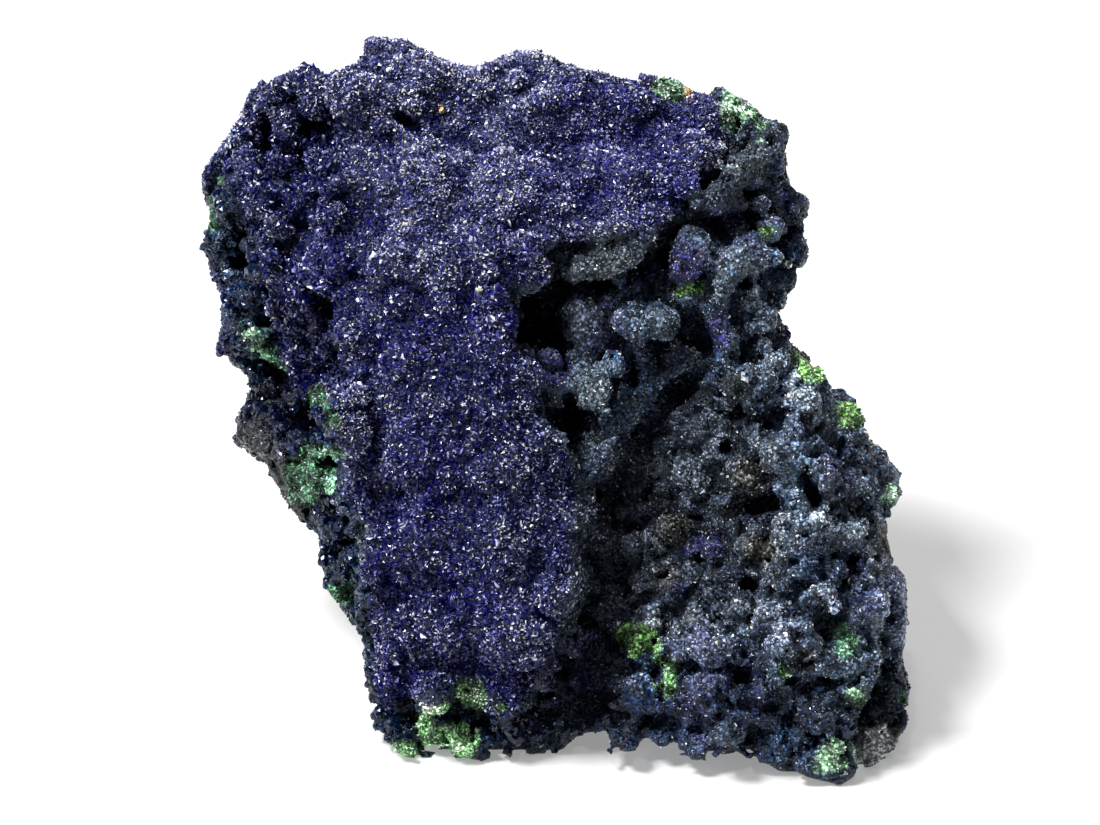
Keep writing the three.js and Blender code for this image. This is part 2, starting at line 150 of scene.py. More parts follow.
RIDGES = [
    [(17.1, 15.4, 19.4, 1.3), (15.4, 13.1, 20, 1.25)],
    [(15, 11.4, 19.8, 1.2), (14.8, 9.3, 19.6, 1.1), (15.4, 7.4, 19.6, 1.2), (15.6, 5.5, 19.6, 1)],
    [(21.5, 27.8, 12.6, 1.15), (19.5, 25.9, 14, 1.3), (17.3, 24, 15.4, 1.3), (15.4, 21.7, 16.6, 1.3), (13.5, 19.6, 17.8, 1.2)],
    [(1.3, 14.3, 22.2, 1.3), (3.6, 15.3, 22.6, 1.8), (6.1, 16.4, 22, 1.7), (8.4, 17.5, 21, 1.2)],
    [(6.8, 9.2, 20.8, 1.65), (9.5, 9.2, 20.8, 1.7)],
    [(12.2, 16.6, 19.8, 1.75), (12.2, 13.9, 20.2, 1.5)],
    [(1.7, 10.3, 20.2, 1.6), (2.4, 8.4, 20.4, 1.5)],
    [(1.9, 5.9, 20.8, 1.2), (2.9, 3, 21.6, 1.75)],
]
CAVITIES = [
    [(-3, 11.4, 21, 1.4), (-2.3, 9.3, 20, 2.2), (-1.9, 7.8, 19.5, 1.8)],
    [(-3.4, 10.3, 17, 2.4), (-2.9, 7.6, 16, 2.3)],
    [(-2.1, 11.8, 20, 1.4), (0, 12.6, 19, 1.4), (2.9, 12.7, 18.5, 1.1), (5, 13, 18.5, 0.9)],
    [(-0.4, 16.2, 23, 0.9), (0, 15, 22, 0.8)],
    [(8.8, 15, 20.5, 0.9), (9.1, 16.6, 20.5, 1), (10.3, 17.9, 20, 1.1), (11.8, 18.7, 19, 1.1), (13.7, 18.5, 18.5, 1.1), (15.4, 18.1, 17.5, 1.2)],
    [(14.4, 16.2, 20, 0.75), (14.1, 14.1, 20, 0.7), (14.5, 12.4, 20, 0.6)],
    [(4.2, 6.5, 19.5, 0.75), (6.9, 6.9, 19.5, 0.85), (9.1, 6.9, 19.5, 0.85)],
    [(6.9, 5.7, 19, 0.7), (7.2, 3, 20.2, 0.7), (6.1, 1.7, 20.8, 0.7)],
    [(11.2, 8.4, 18.6, 1.15), (13, 8.2, 18.6, 1.15)],
    [(17.5, 13, 18, 0.9)],
    [(16.7, 11, 18.6, 0.6), (17, 8.6, 18.2, 0.6)],
    [(12.6, 4.4, 18.8, 1.1), (10.9, 2.5, 18.8, 1.15), (9, 0.4, 18.8, 1.2)],
    [(7, -1.9, 18, 1), (5.1, -4.8, 17.4, 1.2), (4, -8.6, 17, 1.4), (3.6, -13.3, 16.8, 1.3), (3.6, -17.1, 16.8, 1.2)],
    [(-21.9, 10.3, 19.5, 1.2), (-22.7, 9.3, 18.5, 1)],
    [(-15.6, 29.3, 17.5, 0.9), (-14.3, 28.4, 18, 0.9)],
    [(-30, 11.4, 14, 0.9), (-27.8, 9.3, 14, 0.9), (-25.7, 7.1, 15, 0.9)],
    [(-28.4, 29.5, 10, 0.8), (-27.6, 26.7, 12, 0.9), (-28.4, 24.3, 13, 0.8)],
    [(-31.2, 19.5, 10, 0.8), (-30, 17.1, 12, 0.8)],
    [(-24.8, 25.7, 15, 0.7), (-24.2, 22.9, 17, 0.7)],
    [(-29.5, 3, 10, 1.2), (-26.2, 1.9, 12, 1.2), (-22.7, 0, 13.5, 1.2)],
    [(-24.8, -8.1, 12, 1.4), (-21.9, -7.6, 14, 1.3)],
    [(3.4, -21.9, 16, 2), (4.2, -25.7, 17, 1.8), (1.9, -27.8, 17, 1.5)],
    [(6.5, -22.1, 17.6, 0.8), (5.7, -24.4, 17.6, 1)],
    [(-13.3, -27.1, 18.5, 1.2), (-10, -27.2, 19, 1.1), (-5.7, -28.8, 18.5, 1.2)],
    [(31.6, -14.3, 15, 0.7), (31.6, -17.1, 15, 0.8), (31.4, -21, 15.5, 0.8), (31.2, -24, 16, 0.8)],
    [(17.6, -29, 21.5, 0.7), (17.7, -31.4, 20.5, 0.8)],
    [(12.4, -24.8, 21.5, 0.8), (13.3, -23.6, 21.6, 0.6)],
    [(17.3, -16.2, 20.6, 0.9), (17, -15, 20.6, 0.7)],
    [(22.9, -22.4, 24, 0.5), (24.4, -22.1, 24, 0.5)],
    [(15.6, -9, 18.8, 0.9), (17.3, -8.2, 19.4, 1), (19, -7.9, 20, 0.8)],
    [(16.7, -2.5, 18.2, 0.8)],
    [(19.2, 11.4, 14.5, 0.7), (20.4, 9.9, 13.5, 0.7)],
    [(23.4, -5.5, 20, 0.8), (24, -7.6, 20, 0.8)],
    [(27.7, -8.2, 17.4, 0.8), (29.1, -8.8, 16.5, 0.7)],
    [(22.5, -1, 19.4, 0.7), (24, -1.9, 19.4, 0.7)],
    [(25, 1.7, 16.6, 0.5), (25.3, -0.5, 17, 0.5)],
    [(-19.8, -14.8, 14, 0.9), (-20.5, -16.2, 12, 1)],
]
KNOB_AREA = [
    [(-4.6, 12.4), (-1.4, 16.2), (3.8, 15), (9, 17.6), (13.3, 20.5), (18.1, 19.5), (19.5, 15.2), (17.1, 6.7), (12.4, 3), (8.6, 0), (3.8, -5.7), (1.1, -4.8), (-1.4, 2.4), (-4.6, 6.7)],
]
RIGHT_MASS = [
    [(17.6, 6.7), (22.9, 6.7), (32.4, -1.9), (34.3, -17.1), (34.3, -35.2), (11.4, -35.2), (5.7, -28.6), (7.6, -18.1), (17.1, -17.1), (21, -9.5), (20, -1.9)],
]
DETAILED = [
    [(7.6, -0.5), (12.4, 3.3), (17.1, 7.6), (22.9, 6.7), (32.4, -1.9), (32.9, -17.1), (32.9, -26.7), (30.5, -32.4), (11.4, -33.3), (0, -29.5), (0, -19), (0.5, -5.7), (3.8, -1.9)],
]
LEFT_SIDE = [
    [(-37.1, 25.7), (-31.9, 23.8), (-28.4, 14.3), (-21.9, 8.6), (-21.4, 0), (-20, -9.5), (-17.9, -17.1), (-17.3, -26.7), (-14.3, -27.1), (-2.9, -28.1), (0, -31), (-3.8, -35.2), (-18.1, -35.2), (-37.1, 0)],
]
ROUGH = [
    [(-36.2, 22.9), (-29.5, 33.3), (-21.9, 34.3), (-20.5, 27.6), (-21.9, 21), (-20, 15.2), (-20.5, 8.6), (-21, 1.9), (-20.5, -7.6), (-24.8, -9.5), (-34.3, -1), (-35.2, 11.4)],
]
GREY_BAND = [
    [(22.9, 29.5), (20, 28.6), (16.7, 25.7), (13.3, 21), (10.3, 18.3), (4.8, 17.9), (0, 16.6), (-1.1, 12.4), (3.8, 11.8), (9, 15), (12.4, 17.1), (17.1, 21.9), (22.9, 26.7)],
    [(-1.4, 2.7), (3.8, -0.5), (5, -4.8), (3.8, -9.5), (3.2, -17.1), (1.9, -22.9), (-1.4, -26.7), (-3.8, -29.5), (-5.7, -28.8), (-2.9, -25.7), (-1, -21), (0.6, -16.2), (1, -9.5), (1.1, -5.7), (0, -1.9)],
]
BOWL = [
    [(12.4, 3.3), (8.6, 0), (5, -2.9), (3.6, -9.5), (3.3, -17.1), (5.7, -19.5), (13.3, -21), (20, -18.1), (21.9, -11.4), (21, -2.9), (18.1, 1.9)],
]
# Painted shadow: the strip where the crust's edge throws its shadow onto the bowl.
BOWL_SHADOW = [
    [(9, 0.5), (5, -2.9), (3.4, -9.5), (3.1, -17.1), (3.8, -28.6), (7.6, -28.6), (6.2, -21), (7.6, -17.1), (7.2, -11.4), (7.6, -4.8), (10.3, -1)],
]
MORE_DRUSE = [
    [(-28.4, 12.9), (-24.8, 12.9), (-21.4, 9.7), (-21.1, 2.4), (-24.8, 2.1), (-26.5, 6.7), (-28.4, 10.5)],
]
MATRIX = [
    [(-31.9, -0.5), (-29, 0.5), (-24.8, -4.8), (-23.3, -9.5), (-25.7, -10), (-29.5, -6.7)],
    [(30.5, -9.5), (32.4, -11), (31.9, -13), (30.1, -12.2)],
    [(28.2, -29.3), (32.4, -28.8), (32.9, -31), (28.6, -33), (27.2, -31.4)],
]
MALACHITE = [
    (-30.1, 9.9, 0.76, 0.8), (-29.3, 8.4, 0.86, 0.9), (-28.4, 7, 0.86, 0.9), (-27.4, 5.7, 0.76, 0.9), (-26.7, 4.7, 0.67, 0.9),
    (-22.7, 2.7, 0.76, 0.8), (-21.8, 1.3, 0.86, 0.8), (-21, 0, 0.76, 0.8), (-33.1, 18.9, 0.86, 0.8), (-33.1, 20.5, 1.52, 0.8),
    (-32.8, 22.7, 0.95, 0.6), (-29.5, 8.8, 1.33, 0.8), (-28, 6.1, 1.14, 0.7), (-22.7, 1.9, 1.33, 0.8), (-23.4, -4.8, 2.86, 1),
    (-24.3, -6.7, 1.71, 1), (-20.5, -16.4, 1.43, 0.9), (-19.8, -14.8, 0.76, 0.7), (27.2, -21, 1.14, 1), (26.5, -19.8, 0.86, 0.9),
    (31.2, -26.1, 1.43, 0.9), (-29.9, 21.9, 0.76, 0.4), (-21, -3.3, 1.14, 0.7), (31, -27.8, 1.14, 0.7),
]
MAL_DARK = [
    (-11.4, -28.8, 2.29, 1), (-14.9, -31.2, 1.33, 0.8), (-8.6, -25.9, 1.9, 0.9), (-8.8, -30.5, 1.71, 0.9), (-5.7, -27.2, 0.95, 0.6),
    (29.3, -27.2, 1.62, 0.8), (9.9, -24.8, 1.24, 0.9), (10.3, -23.2, 0.86, 0.8), (21, -23.6, 0.86, 0.6), (9, -22.5, 0.86, 0.9),
]
MAL_PALE = [
    (-29.5, 8.6, 0.76, 1), (-28.8, 7.2, 0.76, 1), (17.3, 29.3, 2.1, 0.9), (18.9, 27.8, 1.24, 0.8), (16.8, 31, 1.14, 0.9),
    (10.5, 32, 1.71, 0.8), (26.5, -31.6, 1.81, 0.95), (31.4, -6.9, 0.95, 0.9), (27.8, -25.7, 0.86, 0.8),
]
MAL_LIME = [
    (24, 4.8, 1.43, 0.9), (22.9, 6.1, 0.76, 0.6), (27.6, 0.6, 1.33, 0.8), (28.8, 1.4, 0.76, 0.8), (24, 18.6, 1.05, 0.7),
    (11.5, 12.5, 0.57, 1), (12.4, 12.6, 0.57, 1), (13.2, 12.4, 0.48, 1), (7.6, -21, 1.81, 1), (6.1, -20, 1.05, 0.9),
    (8.8, -21.3, 0.86, 0.9), (20, 18.1, 0.86, 0.5), (29.7, -1.1, 0.76, 0.6),
]
PALE = [
    (-30.1, 7.4, 0.95, 0.9), (-28.2, 5.7, 0.95, 0.9), (2.9, 3.4, 2.1, 0.8), (2.1, 6.3, 1.33, 0.7), (9.5, 9.3, 1.71, 0.35),
    (6.7, 9.3, 1.71, 0.2), (1.7, 9.5, 2.29, 0.4), (4.4, 15.6, 3.05, 0.65), (2.9, 14.5, 1.9, 0.6), (17, 14.9, 1.71, 0.2),
    (15.4, 12.4, 1.52, 0.6), (21.4, -3, 2.29, 0.2), (24.6, 0.8, 2.48, 0.2), (20.5, 5.2, 1.71, 0.25), (27.2, -6.1, 2.29, 0.3),
    (26.2, -10.3, 3.24, 0.5), (29.7, -13.3, 1.9, 0.6), (24.3, -16.4, 1.52, 0.6), (29.5, -30.7, 2.48, 0.6), (19.8, 15, 1.9, 0.15),
    (17.1, 24.3, 3.24, 0.45), (15.9, -30, 1.33, 0.5), (13.3, 6.7, 1.14, 0.5), (9, -18.5, 1.14, 0.7), (0, -9.5, 1.9, 0.15),
    (9, 14.1, 0.76, 0.6), (22.9, 3.3, 1.71, 0.4), (19, 9.5, 1.9, 0.2), (21, -19, 1.9, 0.3), (-18.6, -11.4, 1.52, 0.4),
]
TEAL = [
    (5.3, 5.3, 1.43, 1), (7.6, -25.9, 1.9, 1), (7.2, -23.2, 1.14, 0.7), (7.8, 3.4, 1.33, 0.6), (2.9, -4.6, 1.71, 0.4),
    (21.9, -3, 1.9, 0.4), (-31.9, 26.7, 1.71, 0.35), (-29.5, 6.7, 2.48, 0.35), (-20.5, -10, 2.86, 0.3), (23.8, -14.1, 2.48, 0.55),
    (9.5, -30.3, 2.48, 0.5), (20, -30.5, 2.48, 0.5), (23.3, -31, 1.9, 0.4), (21.4, 16.2, 2.1, 0.6), (-30.5, 11.4, 2.86, 0.3),
    (21.4, -5.7, 2.1, 0.5), (9, -18.1, 1.33, 0.5),
]
VIOLET = [
    (12.1, 15, 2.1, 1), (14.9, 8.1, 1.9, 0.8), (-0.5, 4.6, 1.9, 1), (7.6, 13.3, 1.71, 0.6), (17.6, 8.6, 1.9, 0.3),
    (12.4, -11.9, 1.24, 0.9), (14.5, -12.2, 1.14, 0.8), (11.2, -16.2, 0.95, 1), (25.7, -4, 1.33, 0.5), (26.5, -5.7, 1.52, 0.5),
    (28.1, -13.3, 1.9, 0.5), (29.5, -17.1, 1.9, 0.5), (21.9, 21, 1.52, 0.5), (13.3, -20, 1.33, 0.4), (13.3, -26.7, 1.14, 0.5),
    (0, -22.9, 2.86, 0.4), (15.7, 19, 1.52, 0.5),
]
OCHRE = [
    (17.9, -5.3, 1.9, 0.7), (10.7, -10.3, 1.71, 0.7), (18.8, -12.2, 1.71, 0.8), (10, -15.2, 1.52, 0.5), (31.4, -11.4, 1.14, 0.8),
    (12.2, 31.6, 0.67, 1), (13.3, 16.2, 0.57, 0.3), (16.7, 3.3, 1.71, 0.5), (22.9, -22.4, 1.33, 0.5),
]
# Painted light: spots made lighter where lumps should catch more light than these lamps give them.
PAINTED_LIGHT = [
    (5.3, 5.5, 1.43, 0.9), (-0.5, 4.4, 1.9, 0.8), (2.1, 9.3, 1.9, 0.4), (-29.9, 9.3, 1.14, 1), (-29, 8, 1.14, 1),
    (-27.8, 6.5, 1.14, 1), (-27, 5.1, 0.95, 0.8), (29.5, -30.7, 2.48, 1), (27.2, -33.1, 1.14, 0.6), (26.2, -10.3, 2.86, 0.5),
    (-27.6, 5.7, 1.33, 0.6), (-28.4, 7.1, 1.14, 0.6),
]
# Painted shade: dark spots in the vug, slots, gaps and pits where shade falls.
PAINTED_SHADE = [
    (-23.6, 11.4, 0.95, 1), (-22.5, 10.9, 0.95, 1), (-21.8, 8, 0.95, 1), (-21.4, 6.7, 1.14, 1), (-21, 4.8, 1.05, 1),
    (-24.8, -0.4, 0.86, 1), (-23.6, -0.8, 0.86, 1), (-30.5, 6.1, 0.67, 0.9), (-29.1, 5.3, 0.76, 1), (-27.8, 4.6, 0.57, 0.9),
    (-2.1, 9, 2.67, 0.9), (0, 12.4, 1.52, 0.8), (3.8, 12.8, 1.33, 0.7), (9.1, 15, 1.14, 0.9), (11, 18.3, 1.14, 0.8),
    (13.8, 18.7, 1.33, 0.8), (12.4, 8.2, 1.33, 1), (8.6, 11.7, 1.14, 0.5), (5.7, 6.5, 1.14, 0.8), (1.5, 0.4, 0.76, 0.7),
    (7.1, 3.3, 0.76, 0.7), (11.4, 2.9, 1.52, 0.9), (7.6, -1.9, 1.9, 0.25), (5, -7.6, 1.9, 0.2), (4.4, -14.3, 1.9, 0.25),
    (4.2, -21.9, 2.67, 0.9), (2.9, -26.7, 2.48, 0.8), (5.7, -26.7, 1.52, 0.8), (-21.9, 10.3, 1.14, 0.9), (-26.2, 1.9, 3.24, 0.75),
    (-23.6, -0.6, 1.71, 0.6), (-24.8, -8.6, 1.71, 0.6), (-30, 10.5, 1.33, 0.5), (-9.9, -27.2, 1.14, 0.5), (31.7, -19, 0.76, 0.8),
    (16.7, -2.5, 0.86, 0.9), (17.3, -8.4, 1.71, 0.8), (17.3, -16, 1.24, 0.8), (17.7, -30.3, 0.76, 0.8), (17.6, 21, 2.1, 0.5),
    (17.9, 12.6, 1.14, 0.8), (-28.4, 27.6, 1.52, 0.5), (-30.5, 18.6, 1.52, 0.5), (23.8, -6.7, 1.14, 0.7), (28.4, -8.4, 1.33, 0.7),
    (16.7, -25.7, 2.48, 0.4), (22.9, -27.1, 2.48, 0.4), (11.4, -23.6, 1.14, 0.6),
]
STRAY_GRAINS = [
    (-11.4, 29.3, 0.52, 'amber'), (-7.8, 12.4, 0.34, 'cream'), (-7.2, 28.6, 0.25, 'white'), (-10.5, 26.3, 0.23, 'white'),
    (-16.6, 33.5, 0.32, 'white'), (-28.4, 23.6, 0.25, 'white'), (-28.8, 22.9, 0.21, 'white'), (-15.2, 13.3, 0.25, 'white'),
    (-6.7, 14.5, 0.23, 'white'), (-5.7, 25.5, 0.23, 'white'), (12.2, 31.6, 0.48, 'amber'), (-13.3, -26.7, 0.19, 'white'),
    (21.5, -17, 0.19, 'white'), (14.5, -21, 0.17, 'cream'), (18.2, -19.8, 0.15, 'cream'), (9, 17.1, 0.19, 'white'),
]
CUTS = [
    [(-24.4, 12, 0.86, 2.6), (-23, 11.1, 1.24, 3.4), (-21.9, 10.3, 0.86, 2.6)],
    [(-19.8, 13.7, 0.48, 1.2), (-18.5, 13.4, 0.57, 1.4)],
    [(-22.3, 8.8, 0.76, 2.4), (-21.6, 6.9, 1.05, 3), (-21, 5, 1.05, 3), (-20.6, 3, 0.76, 2.2)],
    [(-25.1, -0.4, 0.86, 2.2), (-23.7, -0.4, 1.14, 2.8), (-22.3, -1, 0.86, 2.2)],
    [(-31.2, 6.3, 0.67, 1.8), (-29.7, 5.7, 0.86, 2.4), (-28, 4.8, 0.86, 2.4), (-26.3, 3.8, 0.76, 2)],
    [(-28.4, 29.3, 0.48, 1.4), (-28, 26.7, 0.67, 1.8), (-28.4, 24.5, 0.57, 1.6)],
    [(-31.2, 19.5, 0.57, 1.5), (-30.2, 17.3, 0.57, 1.5)],
    [(-24.8, 25.7, 0.48, 1.3), (-24.2, 23, 0.67, 1.6)],
    [(-15.4, 29, 0.67, 1.6), (-14.1, 28, 0.86, 2), (-13.3, 27.2, 0.57, 1.3)],
    [(13.7, 4.8, 0.76, 1.2), (12, 3.4, 1.24, 2), (9.9, 1.7, 1.24, 2), (8.2, -0.4, 1.05, 1.4), (6.7, -2.9, 0.86, 0.9), (5.3, -5.9, 0.67, 0.8), (4.4, -9.5, 0.57, 0.8)],
    [(14.9, 18.9, 0.76, 1.6), (15.8, 17.1, 0.76, 1.6)],
    [(9.9, 17.9, 0.57, 1.4), (9.9, 15.7, 0.67, 1.8), (9.9, 14.1, 0.57, 1.4)],
    [(17.6, 13, 0.86, 1.8)],
    [(16.8, 10.7, 0.38, 1), (16.8, 8.6, 0.38, 1)],
    [(4.8, 5.9, 0.33, 1.2), (5, 3.8, 0.33, 1.2), (5.3, 2.1, 0.38, 1.2)],
    [(0.2, 1, 0.38, 1), (1.7, 0.5, 0.57, 1.6), (3.4, 0.5, 0.48, 1.2)],
    [(6.7, 5.9, 0.48, 1.2), (7, 4.2, 0.48, 1.4), (7, 2.7, 0.38, 1.2)],
    [(15.7, -2.6, 0.76, 1.6)],
    [(18.3, -8.4, 0.76, 1.6), (19.8, -7.8, 0.86, 2), (21.3, -8.2, 0.57, 1.4)],
    [(17.9, -15.7, 0.95, 2.2)],
    [(23.6, -6.5, 0.57, 1.4), (24.3, -7.9, 0.67, 1.6)],
    [(25, 1.7, 0.33, 1.2), (24.8, -0.5, 0.38, 1.2), (22.9, -1.7, 0.38, 1)],
    [(31, -13.8, 0.48, 1.6), (31.2, -17.1, 0.48, 1.8), (30.9, -21, 0.48, 1.8), (30.7, -24, 0.57, 1.8), (29.9, -25.7, 0.57, 1.6)],
    [(17.3, -26.7, 0.76, 1.4), (19.2, -27.2, 0.67, 1.4), (21, -27, 0.67, 1.2)],
    [(12.4, -25.1, 0.76, 1.6)],
    [(14.9, -19, 0.67, 1.3)],
    [(17.9, -29.3, 0.57, 1.4), (18.1, -31.2, 0.48, 1.2)],
    [(26.3, -12.6, 0.38, 0.9), (27.8, -13.3, 0.38, 0.9)],
    [(21.9, -13.3, 0.48, 1), (23.6, -13.9, 0.48, 1)],
    [(13.3, -13.3, 0.48, 1)],
    [(24.8, -20, 0.38, 0.9), (25.3, -21.9, 0.38, 0.9)],
    [(19.5, -0.5, 0.48, 1.1), (21, -0.8, 0.38, 0.9)],
    [(26.9, -1.9, 0.38, 1), (26.3, -3.4, 0.38, 1)],
]
EDGE_LUMPS = [
    (-34.5, 21.7, 0.95), (-35.1, 21.9, 0.67), (-31.6, 5.5, 0.86), (-32.2, 5.3, 0.67), (-30.3, -1, 1.14), (-31, -1, 0.76), (-27.8, -4, 1.05), (-28.8, -3, 0.95),
    (-33.7, 16.2, 0.86), (23.4, 17.6, 1.24), (23.4, 15.4, 1.05), (31.3, -11.9, 0.95), (33, -26.2, 1.24), (32.4, -30, 1.24), (30.9, -31.6, 1.14), (26.9, -33.8, 1.24),
    (24.8, -33.3, 1.14), (-17, 36.2, 1.24), (-18.1, 35.4, 0.95), (-15.8, 35.6, 1.14), (-14.1, -32, 1.05), (-12.4, -32.2, 0.95), (-15.4, -31.4, 0.95), (30.5, -7.4, 1.14),
]
BIG_LUMPS = [
    (19, -1.9, 18, 3), (23.4, 1.1, 17.4, 2.6), (28.4, -1.1, 13, 2.4), (13.3, -30, 18.2, 2.6), (17.3, -30.2, 18.4, 2.2), (21.9, -30.3, 19.2, 2.8),
    (27.1, -26.9, 19.2, 2.8), (30.5, -30.3, 15.6, 2.4), (-23.6, -4.8, 12.6, 2.2), (-25, -3.4, 13.2, 0.9), (-24, -2.7, 13.6, 0.9), (-22.7, -2.6, 13.8, 0.9),
    (-21.5, -3.6, 13.6, 0.9), (-21.1, -5, 13.4, 0.9), (-21.9, -6.3, 13.2, 0.9), (-23.2, -7, 12.8, 1), (-24.8, -6.5, 12.6, 0.9), (-25.5, -5, 12.6, 0.9),
    (-21.4, -3.3, 12.6, 1.6), (-20.5, -10, 11.6, 2.4), (-20, -13.3, 12, 2.2), (-20.5, -18.1, 9.6, 2), (-18.1, -21.9, 12.4, 2), (-17.6, -25.7, 13, 2),
    (-15.4, -26.7, 15.8, 1.8), (-16.2, -29.3, 14.8, 1.8), (-14.9, -30.9, 15.2, 1.8), (-11.4, -28.8, 16, 2), (-8.2, -30.3, 16.2, 2), (-4.8, -29.5, 16.4, 1.8),
    (22.4, 17.1, 7.4, 3.2), (20.5, 20.5, 9.5, 2.4), (22.9, 19.5, 7, 2.2), (21.4, 13.8, 9.6, 2.2), (-32.9, 11.4, 4, 2.2), (-31.6, 16.2, 6, 2.2),
    (-33.8, 17.1, 4.4, 1.8), (-30.5, 6.7, 6, 2.2), (-28.4, 4.8, 8.4, 1.8), (-32.6, 23.8, 5.4, 2), (-29.5, 11.4, 9, 1.8), (-26.2, -0.5, 9.6, 1.8),
    (-28.4, -2.4, 7.6, 1.8), (-24.8, -1.9, 11.2, 1.5),
]
KNOB_LUMPS = [
    (12.4, 6.3, 20, 1.1), (10.9, 5.1, 20.8, 1.15), (9.5, 3.8, 21.4, 1.2), (8.2, 3, 21.8, 0.9), (7.6, 1.9, 22.2, 1.15), (6.3, 1.1, 22.3, 1.1),
    (5.5, -0.4, 22.8, 1.2), (4.4, -1.1, 22.6, 1), (4, -2.7, 23, 1.1), (3.2, -4, 22.8, 1), (2.9, -5.7, 23, 1.05), (2.4, -7.2, 23.4, 0.9),
    (1.9, -1.9, 22.6, 1.5), (2.3, 0.2, 22, 1.3), (3.8, 0.5, 21.8, 1.1), (1.1, -4, 23.4, 1.3), (1.1, 10.5, 20.4, 1.1), (2.9, 9.9, 20, 1.2),
    (3.2, 8, 20.2, 1.1), (1, 8.2, 20.4, 1.1), (5.3, 5.4, 21.5, 1.5), (-1.1, 5.5, 21.6, 1.5), (0, 3.4, 22.2, 1.4), (-1.3, 3.4, 22, 1.4),
    (-0.4, 1.9, 22.4, 1.2), (13.3, 6.5, 19.8, 0.9), (11.8, 5.3, 20.8, 0.9), (10.3, 4.2, 21.4, 1), (9, 3, 22, 0.9), (7.8, 1.9, 22.3, 1),
    (6.5, 0.6, 22.7, 0.9), (5.3, -0.8, 22.9, 1), (4.4, -2.3, 22.9, 0.9), (3.6, -3.8, 23, 1), (3, -5.3, 23, 0.9), (2.7, -7, 23.2, 0.9),
    (12.6, 6.7, 20, 1), (9.7, 5.5, 20, 1.1), (8.2, 4, 20.4, 0.95), (4.4, 11.2, 19.4, 1.2), (7.6, 13, 19.4, 1.25), (9.1, 14.1, 19.8, 0.95),
    (5.7, 13.7, 19.6, 1.1), (12.2, 11.6, 19.2, 1.2), (10.3, 11.4, 18.8, 1), (13.7, 10.9, 19.2, 1), (3.8, 7.1, 19.8, 1), (20, 15.6, 15.8, 1.4),
    (20, 18.3, 13.6, 1.6), (19.2, 9.7, 16.6, 1.7), (20.4, 5.3, 16.8, 1.6), (17.7, 8.6, 17.8, 1.1), (17.1, 3.4, 19.2, 2.1), (21.9, 3, 16.4, 1.5),
    (19.2, 7.1, 17.4, 1.1), (18.3, 1.9, 19, 1.5), (13.7, 4, 18.6, 1.3), (7.6, 0.6, 21.4, 0.9), (5.5, -1.3, 22.4, 0.9), (9, 1.9, 21.6, 0.8),
    (21.4, 11.4, 13.6, 1.4), (16.7, 20.5, 15.6, 1.4), (18.3, 22.7, 14.6, 1.2), (19, 20.5, 14.4, 1.2), (22.1, 22.9, 10.8, 1.4),
]
FRONT_LUMPS = [
    (13.3, -0.5, 2.29, 0.9), (12.4, -4.3, 2.1, 0.8), (10, -7.6, 1.9, 0.8), (7.6, -8.8, 1.43, 0.8), (13.3, -7.6, 2.29, 0.9), (17.8, -5.5, 2.29, 1.4),
    (15.2, 2.4, 2.1, 0.9), (21.4, -3, 2.38, 1.8), (22.9, 1.1, 1.9, 1.2), (25.3, -0.5, 1.9, 1.2), (27.6, -3.6, 2.1, 1.1), (27.2, -6.3, 2.29, 1.4),
    (29.7, -7.6, 1.33, 0.9), (21.7, -6.5, 1.71, 1), (18.8, -11.9, 2.29, 1.4), (11.6, -10.5, 1.9, 1), (9, -14.3, 1.9, 1), (12.4, -15, 1.9, 0.9),
    (14.8, -12.2, 1.14, 0.8), (9.7, -2.4, 1.52, 0.7), (7.6, -11.9, 1.52, 0.7), (15.2, -17.1, 1.71, 0.9), (23.3, -10.7, 2.1, 1.1), (26.7, -10.5, 2.1, 1.1),
    (29.3, -12.2, 2.1, 1.1), (22.9, -13.3, 1.71, 0.8), (25.5, -14.5, 1.71, 0.9), (28.4, -15.7, 1.9, 1), (20.2, -14.8, 1.62, 0.9), (24.3, -16.4, 1.62, 1.1),
    (27.1, -18.3, 1.71, 1), (29.5, -19, 1.52, 0.9), (20.6, -19, 2, 1.2), (23, -21, 2, 1.2), (17.9, -18.3, 1.62, 1), (15.2, -19.8, 1.71, 1.1),
    (13.3, -21.4, 1.81, 1.2), (16.7, -22.4, 1.43, 0.9), (20, -22.9, 1.81, 1.1), (24.3, -23.6, 1.62, 0.9), (27.1, -23.6, 1.62, 0.9), (29.3, -23, 1.43, 0.9),
    (21.4, -25.9, 1.71, 1), (24.8, -26.7, 1.71, 1), (18.3, -26.7, 1.62, 1), (14.8, -25.5, 1.71, 1.1), (11.2, -16.2, 0.95, 1.2), (9, -18.5, 1.43, 1.4),
    (7.6, -25.9, 1.81, 1.5), (7.2, -23.2, 1.14, 1), (10.1, -22.1, 0.86, 0.9), (10.7, -27.2, 1.14, 0.9), (9.7, -30.3, 2.1, 1.2), (13.1, -31, 1.81, 1.1),
    (15.9, -29.9, 1.33, 1.1), (20, -30.5, 2.29, 1.4), (23.1, -31, 1.71, 1.1), (26.7, -31.6, 1.62, 1.2), (29.7, -30.7, 2.29, 1.8), (27.6, -28.1, 1.43, 0.9),
    (31, -26.4, 1.33, 0.9), (27.2, -21, 1.14, 0.8), (26.5, -19.8, 0.86, 0.8),
]

VUG = ((-2.3, 9.2, 21.0), (2.1, 3.3, 7.5))
UNDER_HOLLOWS = [  # in the build axes: centre, half sizes
    ((9.2, -16.5, -0.6), (8.2, 12.0, 3.1)),
    ((0.5, -3.0, -0.8), (13.5, 7.5, 3.4)),
    ((-16.5, 2.0, -0.6), (7.0, 7.0, 3.0)),
]

